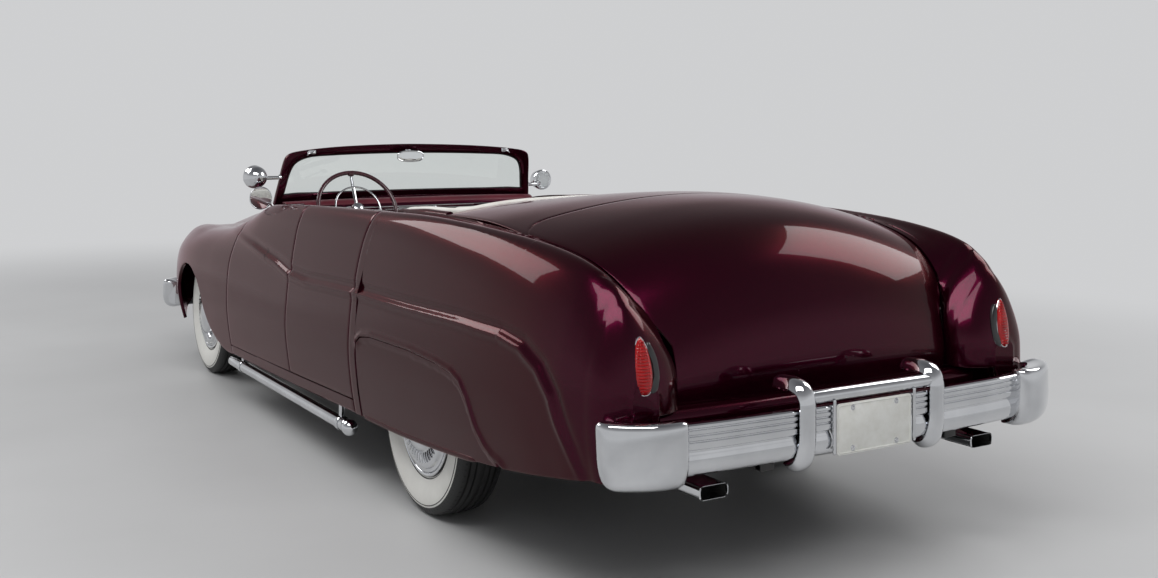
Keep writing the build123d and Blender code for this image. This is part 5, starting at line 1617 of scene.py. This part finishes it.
def build_nose():
    def turn_in(x):
        """How far the nose turns back at x, beside the grille."""
        return 16 * (1 - sqrt(1 - min(max(abs(x) - 508, 0) / 40.1, 1) ** 2))

    upper = [(-2403, 0.985), (-2424, 0.93), (-2450, 0.78), (-2478, 0.55), (-2492, 0.34), (-2496, 0.14),
             (-2494, 0.04), (-2486, 0.0), (-2476, 0.0)]
    lower = spline([(-2478, 441), (-2490, 442), (-2496, 434), (-2496, 412), (-2492, 386), (-2474, 360),
                    (-2446, 344), (-2424, 337)], 30)
    across = spaced(548, 10, 508, 73, -508, 10, -548)
    xf, zf, zt = row_at(STATIONS, -2402)[8:]
    rows = []
    for x in across:
        rise = max(1 - min(abs(x) / (xf - 8), 1) ** 2.2, 0)
        top = zf + (zt - zf) * rise - 24 * ease((abs(x) - 505) / 20)
        ridge = 4 * np.exp(-(x / 16) ** 2)
        line = spline([(y, 638 + (top - 638) * s) for y, s in upper], 40)
        rows.append([(x, y + turn_in(x), z + ridge * np.clip((z - 650) / 100, 0, 1)) for y, z in line])
    meshes = [panel(rows, 10, 2), panel([[(x, y + turn_in(x), z) for y, z in lower] for x in across], 10, 2)]
    for x in (-502, 502):
        meshes.append(upright(rounded_rect(56, 24, 9, 4), x, -2484,
                              ((432, 0.9), (436, 1), (644, 1), (648, 0.9))))
    # Cheeks beside the grille close each fender's nose round its lamp
    rings = []
    for share in np.concatenate([np.linspace(0, 0.8, 14), np.linspace(0.82, 1, 10)]):
        y = NOSE_JOIN_Y + 4 + (NOSE_END_Y - NOSE_JOIN_Y - 2) * sin(share * pi / 2)
        outer = nose_outline(y)
        wall = [(529, z) for z in np.linspace(700, 352, 22)]
        foot = [(x, 344) for x in np.linspace(540, outer[0, 0] - 12, 14)]
        ring = np.vstack([outer, wall, foot])
        ring += (LAMP - ring) / np.linalg.norm(LAMP - ring, axis=1, keepdims=True) * 4
        rings.append(section(closed_on_lamp(ring, share, LAMP_RING - 4), y))
    piece("nose_shell", meshes + and_mirrored([sweep(rings)]), "body", "nose_panel", finish=PAINT)


build_nose()


def build_grille():
    tooth = []
    for t in np.linspace(-1, 1, 13):
        wide, out = 8.5 * (1 - 0.35 * abs(t) ** 3), 10 * (1 - t * t) ** 0.5 + 2
        tooth.append([(wide * cos(a) - 420, -2479 - out * max(sin(a), 0) - 8 * min(sin(a), 0),
                       GRILLE_Z + 80 * t) for a in np.linspace(0, 2 * pi, 14, endpoint=False)])
    meshes = [frame_wire(rounded_rect(938, 186, 70, 8), (0, -2482, GRILLE_Z), 11, 16, cap=False, up=ASTERN),
              repeated(sweep(tooth), 15, CHROME, step=(60, 0, 0)),
              tube([(x, -2474, GRILLE_Z) for x in np.linspace(-452, 452, 41)], 5, 10)]
    piece("grille_teeth", meshes, "body", "grille", slot=None, finish=CHROME)


build_grille()


def build_headlights():
    spot, radius = (LAMP[0], -2501, LAMP[1]), 84
    bezel = [(-28, 88), (-28, 92), (-3, 95), (3, 96.5), (8, 95), (11, 91), (11, 87), (8, 84), (2, 83),
             (-10, 84)]
    dome = [(-8, 0.1), (-8, radius), (2, radius)]
    dome += [(2 + 13 * cos(a), radius * sin(a)) for a in np.linspace(radians(86), 0.02, 12)]
    cup = [(-29, 0.1), (-29, 84), (-14, 84), (-18, 60), (-25, 26), (-26, 0.1)]
    flutes = []
    for a in np.linspace(-72, 72, 17):
        reach = sqrt(radius**2 - a * a) - 4
        flutes.append(tube([spot + np.array([a, -2 - 13.4 * sqrt(1 - (a * a + b * b) / radius**2), b])
                            for b in np.linspace(-reach, reach, 13)], 1.3, 6))
    parts = finished(CHROME, turned(bezel, 80, spot, AHEAD), turned(cup, 48, spot, AHEAD))
    parts += finished(LAMP_GLASS, turned(dome, 64, spot, AHEAD), *flutes)
    piece("head_lamps", and_mirrored(parts), "body", "headlights", slot="clear_glass")


build_headlights()


# Seats
PLEAT_PITCH = 74
PLEATED_HALF = 500


def bench(outline, half, count, crown=0.0):
    """Closed bench cushion: a (y, z) outline carried across the car, its ends rounded in."""
    line = spline(outline, count, closed=True)
    middle = line.mean(0)
    rings = []
    for s in np.linspace(-1, 1, 172):
        reach = np.clip(half * (1 - abs(s)) / 70, 0, 1)
        size = max((1 - (1 - reach) ** 2.4) ** 0.5, 0.30)
        ring = middle + (line - middle) * (1 - (1 - size) * 0.34)
        ring[:, 1] += crown * (1 - s * s) * np.clip((ring[:, 1] - 880) / 150, 0, 1)
        rings.append([(s * half, y, z) for y, z in ring])
    return sweep(rings)


def padded_by_cloth(mesh, cap):
    """Swells a closed cushion by a short cloth simulation; no point moves further than the cap."""
    start = np.array([tuple(v.co) for v in mesh.vertices])
    obj = bpy.data.objects.new("cloth_form", mesh)
    scene = bpy.context.scene
    scene.collection.objects.link(obj)
    cloth = obj.modifiers.new("cloth", "CLOTH")
    cloth.settings.use_pressure = True
    cloth.settings.uniform_pressure_force = 4
    cloth.settings.effector_weights.gravity = 0
    cloth.settings.quality = 4
    cloth.settings.tension_stiffness = cloth.settings.compression_stiffness = 30
    cloth.point_cache.frame_start, cloth.point_cache.frame_end = 1, 20
    for number in range(1, 21):
        scene.frame_set(number)
    swollen = evaluated(obj)
    scene.frame_set(1)
    bpy.data.objects.remove(obj)
    move = np.array([tuple(v.co) for v in swollen.vertices]) - start
    length = np.linalg.norm(move, axis=1, keepdims=True)
    move *= np.minimum(1.0, cap * MM / np.maximum(length, 1e-9))
    swollen.vertices.foreach_set("co", (start + move).ravel())
    swollen.update()
    return swollen


def pleated(mesh, depth, amount):
    """Sewn channels across the middle of a cushion's face, as deep as amount(points, normals) says."""
    points, normals = np.empty(len(mesh.vertices) * 3), np.empty(len(mesh.vertices) * 3)
    mesh.vertices.foreach_get("co", points)
    mesh.vertices.foreach_get("normal", normals)
    points, normals = points.reshape(-1, 3) / MM, normals.reshape(-1, 3)
    wave = np.abs(np.sin((points[:, 0] / PLEAT_PITCH + 0.5) * pi)) ** 0.5
    inside = np.clip((PLEATED_HALF - np.abs(points[:, 0])) / 10, 0, 1)
    points -= normals * (depth * (1 - wave) * inside * amount(points, normals))[:, None]
    mesh.vertices.foreach_set("co", (points * MM).ravel())
    mesh.update()
    return mesh


def seat(cushion, back, half, crown=0.0):
    """Bench seat's cushion and back in white with cherry borders, and sewn channels."""
    base = colored(bench(cushion, half - 8, 60), WHITE_VINYL, CHERRY_VINYL,
                   pick=lambda p, n: abs(p[0]) >= half - 62 or n[2] <= -0.1 or abs(n[0]) >= 0.6)
    base = pleated(padded_by_cloth(base, 12), 10, lambda p, n: np.clip((n[:, 2] - 0.55) / 0.2, 0, 1))
    rest = colored(bench(back, half - 8, 64, crown), WHITE_VINYL, CHERRY_VINYL,
                   pick=lambda p, n: n[2] <= 0.2 and n[1] >= -0.2 or abs(n[0]) >= 0.7)
    rest = pleated(padded_by_cloth(rest, 10), 9, lambda p, n: (
        np.clip((-n[:, 1] - 0.5) / 0.25, 0, 1) * np.clip((p[:, 2] - 600) / 40, 0, 1)))
    return [base, rest]


def build_seats():
    front = seat([(-428, 470), (-434, 560), (-400, 584), (-250, 596), (-60, 586), (70, 566), (84, 500),
                  (60, 446), (-380, 446)],
                 [(70, 520), (82, 620), (104, 860), (128, 962), (158, 990), (204, 984), (230, 950),
                  (232, 860), (222, 560), (206, 470), (100, 470)], 660)
    front += finished(
        CHERRY_VINYL, block((0, -110, 438), (1290, 560, 16), 6),
        *(block((x, -110, 366), (478, 516, 128), 8) for x in (-420, 420)),
        block((0, 228, 700), (1180, 10, 420), 4, 3, Matrix.Rotation(radians(-4), 3, "X")))
    piece("front_bench", front, "body", "front_seat", slot="upholstery", fill=0.7)
    rear = seat([(422, 470), (416, 560), (452, 586), (600, 596), (760, 576), (812, 560), (820, 500),
                 (800, 446), (470, 446)],
                [(806, 520), (824, 620), (868, 900), (896, 1030), (922, 1070), (960, 1082), (988, 1072),
                 (996, 1040), (980, 900), (950, 620), (930, 540), (850, 500)], 640, 24)
    rear += finished(CHERRY_VINYL, block((0, 630, 438), (1230, 400, 16), 6),
                     *(block((x, 630, 366), (454, 376, 128), 8) for x in (-410, 410)))
    piece("rear_bench", rear, "body", "rear_seat", slot="upholstery", fill=0.7)


build_seats()


def build_shelf():
    """Padded shelf behind the rear seat, channelled lengthwise, with its front wall."""
    rows = []
    for x in np.linspace(700, -700, 201):
        swell = 3 + 6 * abs(sin((x + 35) / 70 * pi)) ** 0.5
        rows.append([(x, 1003 + (rim_y(x) + 24 - 1003) * t,
                      1044 + swell * min(1, min(t, 1 - t) / 0.14) ** 0.5) for t in np.linspace(0, 1, 9)])
    parts = finished(WHITE_VINYL, panel(rows, 18))
    parts += finished(CARPET, block((0, 1011, 782), (1180, 18, 520), 4))
    piece("padded_shelf", parts, "body", "rear_shelf", slot="upholstery", fill=0.8)


build_shelf()


def build_cockpit_edge():
    """White padded roll round the cockpit behind the doors, over pleated trim panels."""
    half = [(716, 790, 1058), (706, 820, 1068), (701, 900, 1075), (699, 1000, 1081), (698, 1090, 1083),
            (690, 1148, 1084), (668, 1182, 1085)]
    half += [(x, rim_y(x) - 6, deck_z(x, rim_y(x)) - 2) for x in (630, 560, 480, 400, 300, 200, 100, 0)]
    roll = tube(spline(both_halves(half, (-1, 1, 1)), 240), 12 * tapered(240, 0.006, 0.15))
    rows = []
    for t in np.linspace(0, 1, 91):
        swell = 2 + 5 * abs(sin(t * 4 * pi)) ** 0.5
        rows.append([(742 - 34 * t - swell * min(1, min(v, 1 - v) / 0.04) ** 0.5 - 8 * (1 - v),
                      786 + 214 * t, 560 + (480 + 12 * t) * v) for v in np.linspace(0, 1, 16)])
    parts = [roll] + and_mirrored([panel(rows, 6, 1.5, flip=True)])
    piece("cockpit_side_padding", parts, "body", slot="upholstery", finish=WHITE_VINYL, fill=0.8)


build_cockpit_edge()


def build_floor_mats():
    """Ribbed mats over the front of the floor."""
    parts = []
    for x in (-330, 330):
        parts += finished(SEAL, block((x, -640, 303.5), (420, 440, 5), 2))
        parts.append(repeated(block((x, -840, 306), (400, 5, 4), 1.2, 1), 27, SEAL, step=(0, 15.5, 0)))
    piece("floor_mats", parts, "body", slot="tyre_rubber")


build_floor_mats()

# The CAD parts that stay as they are
for name, material in (("center_posts", PAINT), ("frame_rails", CHASSIS), ("floor_pan", CABIN_FLOOR),
                       ("front_suspension", CHASSIS), ("left_knuckle", IRON), ("right_knuckle", IRON),
                       ("rear_axle", IRON), ("drive_shaft", IRON), ("engine_block", IRON)):
    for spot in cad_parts[name].material_slots:
        spot.material = material


# Camera, lights and floor
BACKDROP = (0.62, 0.625, 0.635)
PHOTO_WIDTH, FOCAL_LENGTH, HORIZON_SHIFT = 1158, 1238.8, -162.8
SENSOR = 36


def by_sight(tree):
    """1 on camera, glossy and transmission rays, and 0 on the others."""
    rays = add(tree, "LightPath", {}).outputs
    seen = maths(tree, "ADD", rays["Is Camera Ray"], rays["Is Glossy Ray"])
    return maths(tree, "MINIMUM", maths(tree, "ADD", seen, rays["Is Transmission Ray"]), 1.0)


def placed(name, data, place=(0, 0, 0), turn=(0, 0, 0)):
    obj = bpy.data.objects.new(name, data)
    obj.location = place
    obj.rotation_euler = turn
    bpy.context.scene.collection.objects.link(obj)
    return obj


def build_camera_and_lights():
    scene = bpy.context.scene
    scene.view_settings.view_transform = "Standard"
    camera = bpy.data.cameras.new("camera")
    camera.sensor_width = SENSOR
    camera.lens = FOCAL_LENGTH / PHOTO_WIDTH * SENSOR
    camera.shift_y = HORIZON_SHIFT / PHOTO_WIDTH
    scene.camera = placed("camera", camera, (2.685, 5.360, 1.401), (radians(90), 0, radians(148.717)))
    for place, size, power, aim in (
        ((2.5, 3.5, 5.0), (5, 2.2), 190, (0, 0.6, 0.6)),
        ((-4.5, 2.0, 4.2), (3, 3), 110, (0, 0.5, 0.6)),
        ((3.5, -4.5, 4.4), (4, 2.5), 120, (0, -1.0, 0.6)),
    ):
        lamp = bpy.data.lights.new("softbox", "AREA")
        lamp.shape = "RECTANGLE"
        lamp.size, lamp.size_y = size
        lamp.energy = power
        placed("softbox", lamp, place, (Vector(aim) - Vector(place)).to_track_quat("-Z", "Y").to_euler())


def build_world():
    """Even pale light, and a backdrop that shows in views and reflections only."""
    world = bpy.data.worlds.new("studio")
    bpy.context.scene.world = world
    world.use_nodes = True
    tree = world.node_tree
    plain = tree.nodes["Background"]
    plain.inputs["Color"].default_value = (0.78, 0.79, 0.81, 1)
    plain.inputs["Strength"].default_value = 0.5
    direction = add(tree, "TexCoord", {}).outputs["Generated"]
    height = add(tree, "SeparateXYZ", {0: direction}).outputs["Z"]
    fade = ramp(tree, height,
                [(0.0, BACKDROP), (0.12, BACKDROP), (0.4, (0.3, 0.3, 0.31)), (1.0, (0.12, 0.12, 0.13))])
    seen = add(tree, "Background", {"Color": fade, "Strength": 1.0})
    mix = add(tree, "MixShader", {0: by_sight(tree), 1: plain.outputs[0], 2: seen.outputs[0]})
    tree.links.new(mix.outputs[0], tree.nodes["World Output"].inputs["Surface"])


def build_floor():
    """Floor that runs into the backdrop's own pale grey far from the car."""
    side = 40
    mesh = bpy.data.meshes.new("floor")
    mesh.from_pydata([(-side, -side, 0), (side, -side, 0), (side, side, 0), (-side, side, 0)], [],
                     [(0, 1, 2, 3)])
    material, tree, surface = shader("studio_floor", (0.6, 0.6, 0.6))
    tone = ramp(tree, noise(0.8, 4)(tree), [(0.3, 0.52), (0.7, 0.56)])
    tree.links.new(tone, surface.inputs["Base Color"])
    far = add(tree, "VectorMath", {0: coords(tree, (1, 0.6, 1))}, operation="LENGTH")
    reach = add(tree, "MapRange", {"Value": far.outputs["Value"], "From Min": 2.2, "From Max": 6.5},
                interpolation_type="SMOOTHSTEP")
    glow = add(tree, "Emission", {"Color": (*BACKDROP, 1)})
    share = maths(tree, "MULTIPLY", reach.outputs["Result"], by_sight(tree))
    mix = add(tree, "MixShader", {0: share, 1: surface.outputs[0], 2: glow.outputs[0]})
    tree.links.new(mix.outputs[0], tree.nodes["Material Output"].inputs["Surface"])
    mesh.materials.append(material)
    placed("floor", mesh)


build_camera_and_lights()
build_world()
build_floor()
